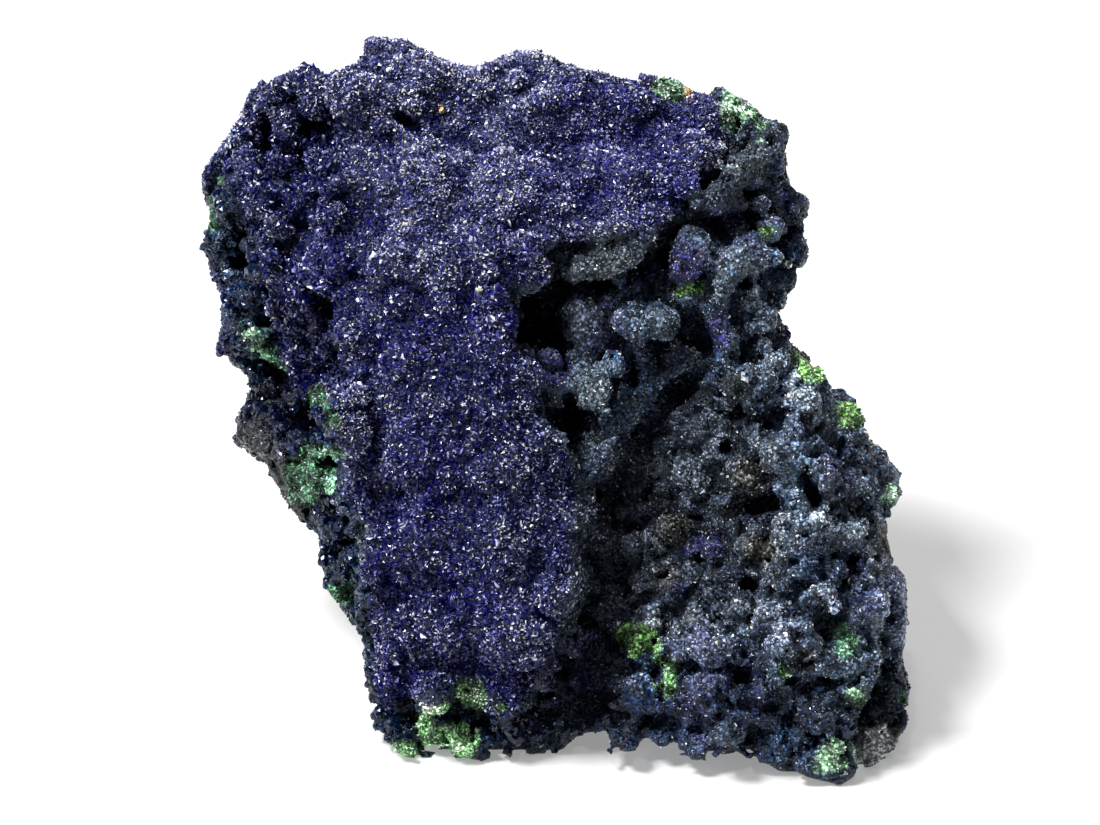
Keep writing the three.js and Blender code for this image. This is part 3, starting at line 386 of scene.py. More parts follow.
# ---------------------------------------------------------------- camera
cam_data = bpy.data.cameras.new("camera")
cam = bpy.data.objects.new("camera", cam_data)
bpy.context.scene.collection.objects.link(cam)
bpy.context.scene.camera = cam
CAM_DIST = 0.800
cam_data.sensor_width = 36.0
cam_data.lens = 36.0 * CAM_DIST / 0.10476
cam_data.clip_start, cam_data.clip_end = 0.01, 10.0
AIM = world((-0.952, 0.714, 15.0)) * 1e-3
from mathutils import Matrix, Vector

AXW = Vector((0.0, -CE, SE))
rot = Matrix(((1, 0, 0), (0, SE, -CE), (0, CE, SE)))
cam.matrix_world = Matrix.Translation(Vector(AIM) + AXW * CAM_DIST) @ rot.to_4x4()

BOX_LO, BOX_HI = (np.array([float(x) for x in c]) * 1e3 for c in CAD_BOX)
BOX_SPAN = BOX_HI - BOX_LO

# ---------------------------------------------------------------- number tools
H = 0.40
U = np.arange(-37.5, 38.01, H)
V = np.arange(-38.0, 41.01, H)
W = np.arange(-20.5, 32.01, H)
NU, NV, NW = len(U), len(V), len(W)


def smooth(a, b, x):
    t = np.clip((x - a) / (b - a), 0, 1)
    return t * t * (3 - 2 * t)


def spline_matrix(x, wave, first):
    t = (x - first) / wave + 2.0
    i = np.floor(t).astype(int)
    f = t - i
    m = np.zeros((len(x), int(i.max()) + 4))
    r = np.arange(len(x))
    m[r, i] = (1 - f) ** 3 / 6
    m[r, i + 1] = (3 * f**3 - 6 * f**2 + 4) / 6
    m[r, i + 2] = (-3 * f**3 + 3 * f**2 + 3 * f + 1) / 6
    m[r, i + 3] = f**3 / 6
    return m


def grid_noise(wave, seed, dims=3):
    """Smooth noise on the grid, mean 0 and standard deviation 1."""
    rng = np.random.default_rng(seed)
    a = spline_matrix(U, wave, U[0])
    b = spline_matrix(V, wave, V[0])
    if dims == 2:
        c = rng.standard_normal((a.shape[1], b.shape[1]))
        out = a @ c @ b.T
    else:
        d = spline_matrix(W, wave, W[0])
        c = rng.standard_normal((a.shape[1], b.shape[1], d.shape[1]))
        out = np.einsum("ai,ijk->ajk", a, c, optimize=True)
        out = np.einsum("bj,ajk->abk", b, out, optimize=True)
        out = np.einsum("ck,abk->abc", d, out, optimize=True)
    return ((out - out.mean()) / out.std()).astype(np.float32)


def sample(field, p):
    """Trilinear value of a grid field at points."""
    t = (p - np.array([U[0], V[0], W[0]])) / H
    t = np.clip(t, 0, np.array(field.shape) - 1.001)
    i = t.astype(int)
    f = t - i
    out = 0
    for dx in (0, 1):
        for dy in (0, 1):
            for dz in (0, 1):
                wgt = (f[:, 0] if dx else 1 - f[:, 0]) * (f[:, 1] if dy else 1 - f[:, 1]) * (f[:, 2] if dz else 1 - f[:, 2])
                out = out + wgt * field[i[:, 0] + dx, i[:, 1] + dy, i[:, 2] + dz]
    return out


def sample2(field, u, v):
    x = np.clip((u - U[0]) / H, 0, NU - 1.001)
    y = np.clip((v - V[0]) / H, 0, NV - 1.001)
    i, j = x.astype(int), y.astype(int)
    fx, fy = x - i, y - j
    return (field[i, j] * (1 - fx) + field[i + 1, j] * fx) * (1 - fy) + (field[i, j + 1] * (1 - fx) + field[i + 1, j + 1] * fx) * fy


def polygon_distance(pts, u, v):
    """Signed distance, positive inside."""
    pts = np.array(pts)
    inside = np.zeros(u.shape, bool)
    best = np.full(u.shape, 1e9)
    for k in range(len(pts)):
        x0, y0 = pts[k - 1]
        x1, y1 = pts[k]
        with np.errstate(divide="ignore", invalid="ignore"):
            cross = ((y1 > v) != (y0 > v)) & (u < (x0 - x1) * (v - y1) / (y0 - y1) + x1)
        inside ^= cross
        l2 = (x1 - x0) ** 2 + (y1 - y0) ** 2 + 1e-12
        t = np.clip(((u - x0) * (x1 - x0) + (v - y0) * (y1 - y0)) / l2, 0, 1)
        best = np.minimum(best, np.hypot(u - x0 - t * (x1 - x0), v - y0 - t * (y1 - y0)))
    return np.where(inside, best, -best)


def blur(f, times=1):
    for _ in range(times):
        for ax in range(f.ndim):
            g = np.swapaxes(f, 0, ax)
            h = g.copy()
            h[1:-1] = 0.25 * g[:-2] + 0.5 * g[1:-1] + 0.25 * g[2:]
            f = np.swapaxes(h, 0, ax)
    return f


# ---------------------------------------------------------------- depth maps
UU, VV = np.meshgrid(U, V, indexing="ij")


def depth_map(points):
    pts = np.array(points)
    s = np.zeros(UU.shape)
    t = np.zeros(UU.shape)
    for pu, pv, d in pts:
        k = 1 / ((UU - pu) ** 2 + (VV - pv) ** 2 + 1.4) ** 2
        s += k * d
        t += k
    return s / t


ANG = np.degrees(np.arctan2(VV, UU)) % 360
out_a = np.arange(96) * 2 * math.pi / 96
OUTLINE = np.stack([np.array(OUTLINE_R) * np.cos(out_a), np.array(OUTLINE_R) * np.sin(out_a)], 1)
rim_a, rim_d = np.array(RIM_DEPTH)[:, 0], np.array(RIM_DEPTH)[:, 1]
RIM = np.interp(ANG, np.r_[rim_a, 360], np.r_[rim_d, rim_d[0]])
OUT_DIST = polygon_distance(OUTLINE, UU, VV)
EDGE = OUT_DIST + 0.30 + 0.35 * grid_noise(2.2, 5, 2)
N2A, N2B, N2C = grid_noise(1.6, 11, 2), grid_noise(3.4, 12, 2), grid_noise(7.0, 13, 2)
CRUST = polygon_distance(CRUST_EDGE, UU, VV) + 0.35 * N2A + 0.35 * N2B
ON_CRUST = smooth(-0.4, 0.4, CRUST)
ROUGH_AREA = smooth(-2.5, 1.5, np.max([polygon_distance(p, UU, VV) for p in ROUGH], 0))
KNOBS_AREA = smooth(-0.8, 0.8, np.max([polygon_distance(p, UU, VV) for p in KNOB_AREA], 0))
RIGHT_AREA = smooth(-1.0, 1.0, np.max([polygon_distance(p, UU, VV) for p in RIGHT_MASS], 0))
LEFT_AREA = smooth(-1.0, 1.0, np.max([polygon_distance(p, UU, VV) for p in LEFT_SIDE], 0))
DETAIL_AREA = smooth(-0.8, 0.8, np.max([polygon_distance(p, UU, VV) for p in DETAILED], 0))
SHADOW_STRIP = smooth(-0.9, 1.1, np.max([polygon_distance(p, UU, VV) for p in BOWL_SHADOW], 0))
MATRIX_AREA = smooth(-0.6, 0.8, np.max([polygon_distance(p, UU, VV) for p in MATRIX], 0))
BOWL_AREA = smooth(-1.0, 1.0, np.max([polygon_distance(p, UU, VV) for p in BOWL], 0))


def round_over(t):
    return np.sqrt(1 - (1 - np.clip(t, 0, 1)) ** 2)


F_CRUST, F_BODY, F_BACK = depth_map(CRUST_DEPTH), depth_map(BODY_DEPTH), depth_map(BACK_DEPTH)
FRONT = RIM + (F_BODY * (1 - ON_CRUST) + F_CRUST * ON_CRUST - RIM) * round_over(EDGE / 3.0)
BACK = RIM + (F_BACK - RIM) * round_over(EDGE / 9.0)
CRUST_TOP = RIM + (F_CRUST - RIM) * round_over(EDGE / 3.0)


SPLIT = np.minimum(RIM - 1.0, 0.5 * (FRONT + BACK) + 1.5)


def slope(m):
    gx, gy = np.gradient(m, H)
    return 1 / np.sqrt(1 + np.minimum(gx**2 + gy**2, 16))


FIELD = np.minimum(
    (FRONT[:, :, None] - W) * slope(FRONT)[:, :, None],
    (W - BACK[:, :, None]) * slope(BACK)[:, :, None],
)
FIELD = np.minimum(FIELD, EDGE[:, :, None]).astype(np.float32)
FIELD = np.clip(FIELD, -3, 3)
FIELD = blur(FIELD, 2)

G3 = np.stack(np.meshgrid(U, V, W, indexing="ij"), -1).astype(np.float32)


def stamp(centre, reach, fn):
    """Changes the field in a small box around centre."""
    lo = [max(0, int((centre[a] - reach[a] - (U[0], V[0], W[0])[a]) / H)) for a in range(3)]
    hi = [min((NU, NV, NW)[a], int((centre[a] + reach[a] - (U[0], V[0], W[0])[a]) / H) + 2) for a in range(3)]
    if any(h <= l for l, h in zip(lo, hi)):
        return
    sl = tuple(slice(l, h) for l, h in zip(lo, hi))
    FIELD[sl] = fn(FIELD[sl], G3[sl])


def smax(a, b, k):
    h = np.maximum(k - np.abs(a - b), 0) / k
    return np.maximum(a, b) + h * h * k * 0.25


def smin(a, b, k):
    return -smax(-a, -b, k)


def capsule(p, a, b, ra, rb):
    a, b = np.array(a, np.float32), np.array(b, np.float32)
    d = b - a
    t = np.clip(((p - a) @ d) / max(float(d @ d), 1e-9), 0, 1)
    return ra + (rb - ra) * t - np.linalg.norm(p - a - t[..., None] * d, axis=-1)


def polyline(pts, add, k):
    for (a, b) in zip(pts[:-1], pts[1:]):
        c = [(a[i] + b[i]) / 2 for i in range(3)]
        reach = [abs(a[i] - b[i]) / 2 + max(a[3], b[3]) + 1.5 for i in range(3)]
        if add:
            stamp(c, reach, lambda f, p: smax(f, capsule(p, a[:3], b[:3], a[3], b[3]), k))
        else:
            stamp(c, reach, lambda f, p: smin(f, -capsule(p, a[:3], b[:3], a[3], b[3]), k))


def ball(c, r, k, flat=1.0):
    c = np.array(c, np.float32)
    stamp(c, (r + 1.2,) * 3, lambda f, p: smax(f, r - np.linalg.norm(p - c, axis=-1), k))


def bite(c, r, k):
    c = np.array(c, np.float32)
    stamp(c, (r + 1.2,) * 3, lambda f, p: smin(f, np.linalg.norm(p - c, axis=-1) - r, k))


SEAM = np.zeros(FIELD.shape, np.float32)


def lump(c, r, groove, wide=0.42):
    """A ball joined to what is there, with a groove along the join."""
    c = np.array(c, np.float32)
    lo = [max(0, int((c[a] - r - 1.2 - (U[0], V[0], W[0])[a]) / H)) for a in range(3)]
    hi = [min((NU, NV, NW)[a], int((c[a] + r + 1.2 - (U[0], V[0], W[0])[a]) / H) + 2) for a in range(3)]
    if any(h <= l for l, h in zip(lo, hi)):
        return
    sl = tuple(slice(l, h) for l, h in zip(lo, hi))
    f = FIELD[sl]
    b = r - np.linalg.norm(G3[sl] - c, axis=-1)
    top = np.maximum(f, b)
    seam = np.exp(-(((f - b) / wide) ** 2)) * smooth(-1.4, -0.5, top) * smooth(1.6, 0.6, top)
    FIELD[sl] = top - groove * seam
    SEAM[sl] = np.maximum(SEAM[sl] * smooth(0.3, -0.5, b - f), seam)


def cluster(rng, c, r, groove, wide, small):
    """A lump with smaller ones over it."""
    lump(c, 0.94 * r, groove, wide)
    for _ in range(small):
        d = rng.standard_normal(3)
        d /= np.linalg.norm(d)
        if d[2] < -0.2:
            d = -d
        lump(np.array(c) + d * r * rng.uniform(0.5, 0.78), r * rng.uniform(0.30, 0.55), 0.16, 0.24)


rng_small = np.random.default_rng(404)
for u, v, w, r in BIG_LUMPS:
    cluster(rng_small, (u, v, w), r, 0.55, 0.42, int(1.5 * r) if r > 1.2 else 0)
for u, v, r in EDGE_LUMPS:
    lump((u, v, float(sample2(RIM, np.array([u]), np.array([v]))[0])), r, 0.1)

# ---------------------------------------------------------------- lumps and roughness
on3 = ON_CRUST[:, :, None] * smooth(-4.0, -1.5, W - CRUST_TOP[:, :, None])
front3 = smooth(-1.5, 1.5, W - SPLIT[:, :, None])
rough3 = (ROUGH_AREA[:, :, None] * front3).astype(np.float32)
n0 = grid_noise(0.85, 20)
n1, n2, n3, n4 = grid_noise(1.3, 21), grid_noise(2.4, 22), grid_noise(4.6, 23), grid_noise(9.0, 24)
bowl3 = (BOWL_AREA[:, :, None] * front3).astype(np.float32)
smooth_face = (on3 * (1 - rough3)).astype(np.float32)
creases = np.exp(-((grid_noise(2.6, 31) / 0.20) ** 2))  # thin cracks between lumps
creases2 = np.exp(-((grid_noise(4.4, 32) / 0.16) ** 2))
up_face = (0.8 + 0.9 * smooth(12, 22, VV))[:, :, None].astype(np.float32)
FIELD += smooth_face * up_face * (0.11 * n1 + 0.19 * n2 + 0.24 * n3 + 0.10 * n4 - 0.22 * creases)
FIELD += (rough3 * (0.18 * n1 + 0.38 * n2 + 0.50 * n3 - 0.75 * creases - 0.8 * creases2)).astype(np.float32)
rest3 = np.clip(1 - smooth_face - rough3, 0, 1)
FIELD += rest3 * (1 - 0.6 * bowl3) * (1 - 0.7 * MATRIX_AREA[:, :, None] * front3) * (0.08 * n1 + 0.18 * n2 + 0.24 * n3 + 0.30 * n4 - 0.30 * creases2)
back3 = np.clip(1 - front3, 0, 1).astype(np.float32)
FIELD += back3 * (0.28 * n4 + 0.30 * n3 - 0.45 * creases2 - 0.20 * creases)
# The lumps of the right-hand mass and the bowl, one by one.
for u, v, r, rise in FRONT_LUMPS:
    ground = float(sample2(FRONT, np.array([u]), np.array([v]))[0])
    cluster(rng_small, (u, v, ground + 0.85 * rise - 1.15 * r), 1.15 * r, 0.50, 0.36, int(3 + 3 * r))


def surface_points(rng, spacing, near=0.35):
    """Points close to the surface, no two in one cell of the spacing, with outward directions."""
    idx = np.argwhere(np.abs(FIELD) < near * H * 1.6)
    idx = idx[np.all((idx > 1) & (idx < np.array(FIELD.shape) - 2), 1)]
    rng.shuffle(idx)
    p = np.stack([U[idx[:, 0]], V[idx[:, 1]], W[idx[:, 2]]], 1)
    q, _ = np.linalg.qr(rng.standard_normal((3, 3)))
    key = np.floor(p @ q / spacing + 1000).astype(np.int64)
    key = key[:, 0] * 100000000 + key[:, 1] * 10000 + key[:, 2]
    _, first = np.unique(key, return_index=True)
    idx, p = idx[first], p[first]
    i, j, k = idx.T
    g = np.stack([FIELD[i + 1, j, k] - FIELD[i - 1, j, k], FIELD[i, j + 1, k] - FIELD[i, j - 1, k], FIELD[i, j, k + 1] - FIELD[i, j, k - 1]], 1)
    n = -g / (np.linalg.norm(g, axis=1, keepdims=True) + 1e-9)
    return p + rng.uniform(-0.3, 0.3, p.shape), n


FIELD += (0.22 * n1 + 0.20 * n2 - 0.35 * creases) * (DETAIL_AREA[:, :, None] * front3)
# Botryoids: overlapping caps, large first, then smaller ones on them.
rng = np.random.default_rng(101)
back_patch = smooth(-0.5, 0.6, sample(n4, np.array([[0.0, 0.0, 0.0]]))[0] * 0 + n4 + 0.5 * n3)
for spacing, rlo, rhi, sink, share in ((3.4, 1.3, 2.6, 0.62, 0.8), (2.0, 0.8, 1.5, 0.5, 0.75), (1.25, 0.5, 0.85, 0.35, 0.6)):
    p, n = surface_points(rng, spacing)
    crust = sample(on3.astype(np.float32), p)
    bowl = sample(bowl3, p)
    rough = sample(rough3, p)
    behind = 1 - sample(front3.astype(np.float32), p)
    patch = sample(back_patch.astype(np.float32), p)
    chance = share * (1 - crust) * (1 - 0.65 * bowl) * np.where(behind > 0.5, 0.25 + 0.75 * patch, 1)
    chance = np.maximum(chance, 0.35 * rough * share)
    chance *= 1 - 0.9 * sample2(KNOBS_AREA, p[:, 0], p[:, 1]) * (1 - behind)
    chance *= 1 - (0.6 if rlo > 1 else 0.35) * sample2(DETAIL_AREA, p[:, 0], p[:, 1]) * (1 - behind)
    chance *= 1 - 0.85 * sample2(MATRIX_AREA, p[:, 0], p[:, 1]) * (1 - behind)
    keep = rng.random(len(p)) < chance
    for c, d in zip(p[keep], n[keep]):
        r = rng.uniform(rlo, rhi)
        lump(c - d * r * (sink + rng.uniform(-0.12, 0.12)), r, 0.12 + 0.14 * r, 0.32)
for u, v, w, r in KNOB_LUMPS:
    cluster(rng_small, (u, v, w), r, 0.45, 0.34, int(1 + 3.2 * r))
for pl in RIDGES:
    polyline(pl, True, 0.22)
    for a, b in zip(pl[:-1], pl[1:]):  # knobbly along their length
        a, b = np.array(a), np.array(b)
        steps = max(1, int(np.linalg.norm(b[:3] - a[:3]) / 0.45))
        for t in (np.arange(steps) + 0.5) / steps:
            c = a + (b - a) * t
            d = rng_small.standard_normal(3)
            d /= np.linalg.norm(d)
            lump(c[:3] + d * (1, 1, -1 if d[2] < 0 else 1) * c[3] * rng_small.uniform(0.55, 0.95), c[3] * rng_small.uniform(0.30, 0.55), 0.14, 0.24)
FIELD += (0.13 * n0 + 0.16 * n1 + 0.20 * n2 - 0.35 * creases) * (KNOBS_AREA[:, :, None] * front3)
FIELD += 0.10 * n0 * (DETAIL_AREA[:, :, None] * front3)
# Gentle swellings under the crust's druse.
p, n = surface_points(rng, 3.2)
keep = (sample(on3.astype(np.float32), p) > 0.7) & (rng.random(len(p)) < 0.75)
for c, d in zip(p[keep], n[keep]):
    r = rng.uniform(1.2, 2.4)
    lump(c - d * r * rng.uniform(0.84, 0.95), r, 0.20, 0.30)
p, n = surface_points(rng, 1.7)
keep = (sample(on3.astype(np.float32), p) > 0.7) & (rng.random(len(p)) < 0.55)
for c, d in zip(p[keep], n[keep]):
    r = rng.uniform(0.7, 1.3)
    lump(c - d * r * rng.uniform(0.72, 0.92), r, 0.15, 0.25)
for u, v, r in EDGE_LUMPS:
    lump((u, v, float(sample2(RIM, np.array([u]), np.array([v]))[0])), r * 1.15, 0.1)
# Nothing stands out past the outline.
LIMIT = (OUT_DIST + 0.10)[:, :, None] + 0.25 * n1 + 0.22 * n2
FIELD = smin(FIELD, LIMIT.astype(np.float32), 0.35)

# Hollows, slots and pits.
for pl in CAVITIES:
    polyline(pl, False, 0.45)
p, n = surface_points(rng, 2.6)
crust = sample(on3.astype(np.float32), p)
rough = sample(rough3, p)
bowl = sample(bowl3, p)
chance = (0.55 * (1 - crust) * (1 - 0.7 * bowl) + 0.35 * rough) * (1 - 0.7 * sample2(DETAIL_AREA, p[:, 0], p[:, 1]))
keep = rng.random(len(p)) < chance
for c, d in zip(p[keep], n[keep]):
    r = rng.uniform(0.45, 0.95)
    bite(c + d * r * rng.uniform(-0.3, 0.35), r, 0.3)

solid = FIELD > 0
TOP_W = W[NW - 1 - np.argmax(solid[:, :, ::-1], axis=2)]
for pl in CUTS:
    for (a, b) in zip(pl, pl[1:] + pl[-1:]):
        a, b = np.array(a), np.array(b)
        steps = max(1, int(np.linalg.norm(b[:2] - a[:2]) / 0.45))
        for t in np.arange(steps) / steps:
            u, v, r, deep = a + (b - a) * t
            i, j = int((u - U[0]) / H + 0.5), int((v - V[0]) / H + 0.5)
            top = float(np.median(TOP_W[i - 1 : i + 2, j - 1 : j + 2]))
            c = np.array((u, v, top), np.float32)
            stamp(c, (r + 0.8, r + 0.8, deep + 1.5), lambda f, p: smin(f, ((np.sqrt((((p - c) * (1 / r, 1 / r, 1 / deep)) ** 2).sum(-1)) - 1) * r).astype(np.float32), 0.3))

# Cut level where it rests, and hollowed underneath.
P3 = world(G3)
for (c, h) in UNDER_HOLLOWS:
    c = np.array([c[0] - MID[0], c[1] - MID[1], c[2]])
    d = np.linalg.norm((P3 - c) / np.array(h), axis=-1) - 1
    FIELD = smin(FIELD, (d * min(h)).astype(np.float32) + 0.12 * n2, 0.4)
FIELD = np.minimum(FIELD, P3[..., 2]).astype(np.float32)
for ax in range(3):  # never much past the solid's own box
    room = BOX_HI[ax] + 0.7 - P3[..., ax]
    if ax < 2:
        room = np.minimum(room, P3[..., ax] - BOX_LO[ax] + 0.7)
    FIELD = smin(FIELD, (room - 0.30 * np.abs(n2) - 0.20 * np.abs(n1)).astype(np.float32), 0.4)
FIELD[[0, -1]] = -1
FIELD[:, [0, -1]] = -1
FIELD[:, :, [0, -1]] = -1
FIELD = np.where(np.abs(FIELD) < 1e-3, 1e-3, FIELD)


# ---------------------------------------------------------------- mesh from the field
def surface_nets(f):
    s = f > 0
    corners = [(a, b, c) for a in (0, 1) for b in (0, 1) for c in (0, 1)]
    nx, ny, nz = (n - 1 for n in f.shape)
    at = lambda arr, o: arr[o[0] : o[0] + nx, o[1] : o[1] + ny, o[2] : o[2] + nz]
    count = sum(at(s, o).astype(np.int8) for o in corners)
    active = (count > 0) & (count < 8)
    index = np.full(active.shape, -1, np.int64)
    ijk = np.argwhere(active)
    index[active] = np.arange(len(ijk))
    pos = np.zeros((len(ijk), 3))
    num = np.zeros(len(ijk))
    for a in corners:
        for ax in range(3):
            if a[ax]:
                continue
            b = list(a)
            b[ax] = 1
            fa = f[ijk[:, 0] + a[0], ijk[:, 1] + a[1], ijk[:, 2] + a[2]].astype(float)
            fb = f[ijk[:, 0] + b[0], ijk[:, 1] + b[1], ijk[:, 2] + b[2]].astype(float)
            m = (fa > 0) != (fb > 0)
            t = fa[m] / (fa[m] - fb[m])
            q = np.repeat(np.array([a], float), m.sum(), 0)
            q[:, ax] += t
            pos[m] += q
            num[m] += 1
    verts = np.array([U[0], V[0], W[0]]) + H * (ijk + pos / num[:, None])
    quads = []
    for ax in range(3):
        o1, o2 = [(1, 2), (2, 0), (0, 1)][ax]
        sl = [slice(1, -1)] * 3
        sl[ax] = slice(0, -1)
        s0 = s[tuple(sl)]
        sl2 = list(sl)
        sl2[ax] = slice(1, None)
        s1 = s[tuple(sl2)]
        e = np.argwhere(s0 != s1)
        flip = s0[tuple(e.T)]
        base = e.copy()
        for k in (o1, o2):
            base[:, k] += 1

        def cell(d1, d2):
            c = base.copy()
            c[:, o1] -= d1
            c[:, o2] -= d2
            return index[c[:, 0], c[:, 1], c[:, 2]]

        q = np.stack([cell(1, 1), cell(0, 1), cell(0, 0), cell(1, 0)], 1)
        q[~flip] = q[~flip][:, ::-1]
        quads.append(q)
    return verts, np.concatenate(quads)


def largest_part(verts, quads):
    label = np.arange(len(verts))
    while True:
        low = label[quads].min(1)
        new = label.copy()
        for c in range(4):
            np.minimum.at(new, quads[:, c], low)
        new = new[new]
        if (new == label).all():
            break
        label = new
    vals, counts = np.unique(label, return_counts=True)
    keep = label == vals[counts.argmax()]
    remap = np.cumsum(keep) - 1
    q = quads[keep[quads].all(1)]
    return verts[keep], remap[q]


def close_pinches(f):
    """Where rock meets rock only along a line, with gaps on both other sides, the shallower gap is filled."""
    f = f.copy()
    for _ in range(12):
        found = 0
        for ax in range(3):
            g = np.moveaxis(f, ax, 2)
            a, b, c, d = g[:-1, :-1], g[1:, 1:], g[1:, :-1], g[:-1, 1:]
            sa, sb, sc, sd = a > 0, b > 0, c > 0, d > 0
            e = np.argwhere((sa == sb) & (sc == sd) & (sa != sc))
            found += len(e)
            if not len(e):
                continue
            i, j, k = e.T
            ab = ~sa[i, j, k]
            p = np.where(ab[:, None], np.stack([i, j], 1), np.stack([i + 1, j], 1))
            q = np.where(ab[:, None], np.stack([i + 1, j + 1], 1), np.stack([i, j + 1], 1))
            fp, fq = g[p[:, 0], p[:, 1], k], g[q[:, 0], q[:, 1], k]
            t = np.where((fp > fq)[:, None], p, q)
            g[t[:, 0], t[:, 1], k] = 0.08
        if not found:
            break
    print("pinches left", found)
    return f


verts, quads = largest_part(*surface_nets(close_pinches(FIELD)))
del G3, P3
# Even out the steps a little.
nb = np.zeros_like(verts)
cnt = np.zeros(len(verts))
for a in range(4):
    b = (a + 1) % 4
    np.add.at(nb, quads[:, a], verts[quads[:, b]])
    np.add.at(cnt, quads[:, a], 1)
verts = verts * 0.7 + 0.3 * nb / cnt[:, None]
tris = np.concatenate([quads[:, [0, 1, 2]], quads[:, [0, 2, 3]]])
MOST_BODY = 190000
if len(tris) > MOST_BODY:
    me = bpy.data.meshes.new("draft")
    me.vertices.add(len(verts))
    me.vertices.foreach_set("co", verts.astype(np.float32).ravel())
    me.loops.add(tris.size)
    me.loops.foreach_set("vertex_index", tris.astype(np.int32).ravel())
    me.polygons.add(len(tris))
    me.polygons.foreach_set("loop_start", np.arange(0, tris.size, 3, dtype=np.int32))
    me.update(calc_edges=True)
    ob = bpy.data.objects.new("draft", me)
    bpy.context.scene.collection.objects.link(ob)
    dm = ob.modifiers.new("fewer", "DECIMATE")
    dm.ratio = MOST_BODY / len(tris)
    done = ob.evaluated_get(bpy.context.evaluated_depsgraph_get()).to_mesh()
    done.calc_loop_triangles()
    nv, nt_ = len(done.vertices), len(done.loop_triangles)
    va, ta = np.empty(nv * 3, np.float32), np.empty(nt_ * 3, np.int32)
    done.vertices.foreach_get("co", va)
    done.loop_triangles.foreach_get("vertices", ta)
    verts, tris = va.reshape(-1, 3).astype(float), ta.reshape(-1, 3).astype(np.int64)
    ob.to_mesh_clear()
    bpy.data.objects.remove(ob)
    bpy.data.meshes.remove(me)
# Pairs of faces folded flat onto each other are dropped, with any crumb cut loose and the points that nothing uses.
for _ in range(3):
    t3 = np.sort(tris, 1)
    key = (t3[:, 0] * len(verts) + t3[:, 1]) * len(verts) + t3[:, 2]
    _, which, times = np.unique(key, return_inverse=True, return_counts=True)
    tris = tris[(times[which] == 1) & (t3[:, 0] != t3[:, 1]) & (t3[:, 1] != t3[:, 2])]
verts, tris = largest_part(verts, np.concatenate([tris, tris[:, :1]], 1))
tris = tris[:, :3]
t3 = np.sort(np.concatenate([tris[:, [0, 1]], tris[:, [1, 2]], tris[:, [2, 0]]]), 1)
_, times = np.unique(t3[:, 0] * len(verts) + t3[:, 1], return_counts=True)
print("body", len(verts), len(tris), "open edges", (times == 1).sum(), "shared by more than two", (times > 2).sum())


def vertex_normals(v, t):
    n = np.cross(v[t[:, 1]] - v[t[:, 0]], v[t[:, 2]] - v[t[:, 0]])
    out = np.zeros_like(v)
    for k in range(3):
        np.add.at(out, t[:, k], n)
    return out / (np.linalg.norm(out, axis=1, keepdims=True) + 1e-12)


normals = vertex_normals(verts, tris)

# ---------------------------------------------------------------- what each spot is made of
def spots(table, u, v):
    out = np.zeros(len(u))
    for su, sv, r, s in table:
        d = np.hypot(u - su, v - sv) / r
        out = np.maximum(out, s * smooth(1.25, 0.55, d))
    return out


def spread_out(f, mm):
    k = [np.fft.fftfreq(n, H) for n in f.shape[:2]] + [np.fft.rfftfreq(f.shape[2], H)]
    g = [np.exp(-0.5 * (2 * math.pi * q * mm) ** 2) for q in k]
    return np.fft.irfftn(np.fft.rfftn(f) * g[0][:, None, None] * g[1][None, :, None] * g[2][None, None], f.shape).astype(np.float32)


SOLID = np.clip(FIELD / H + 0.5, 0, 1)
CLOSE, NEAR, WIDE = (spread_out(SOLID, mm) - 0.5 for mm in (0.55, 1.2, 3.0))
OPEN = blur(np.clip(FIELD, -1.5, 1.5), 3)  # how enclosed a spot is
OPEN2 = blur(OPEN, 5)
SEAM = blur(SEAM, 1)


# Painted shade and light: hollow places are painted darker and raised ones lighter, with these strengths.
HOLLOW_CLOSE, HOLLOW_NEAR, HOLLOW_WIDE = 3.0, 2.6, 0.8  # how strongly hollow places are darker and raised ones lighter


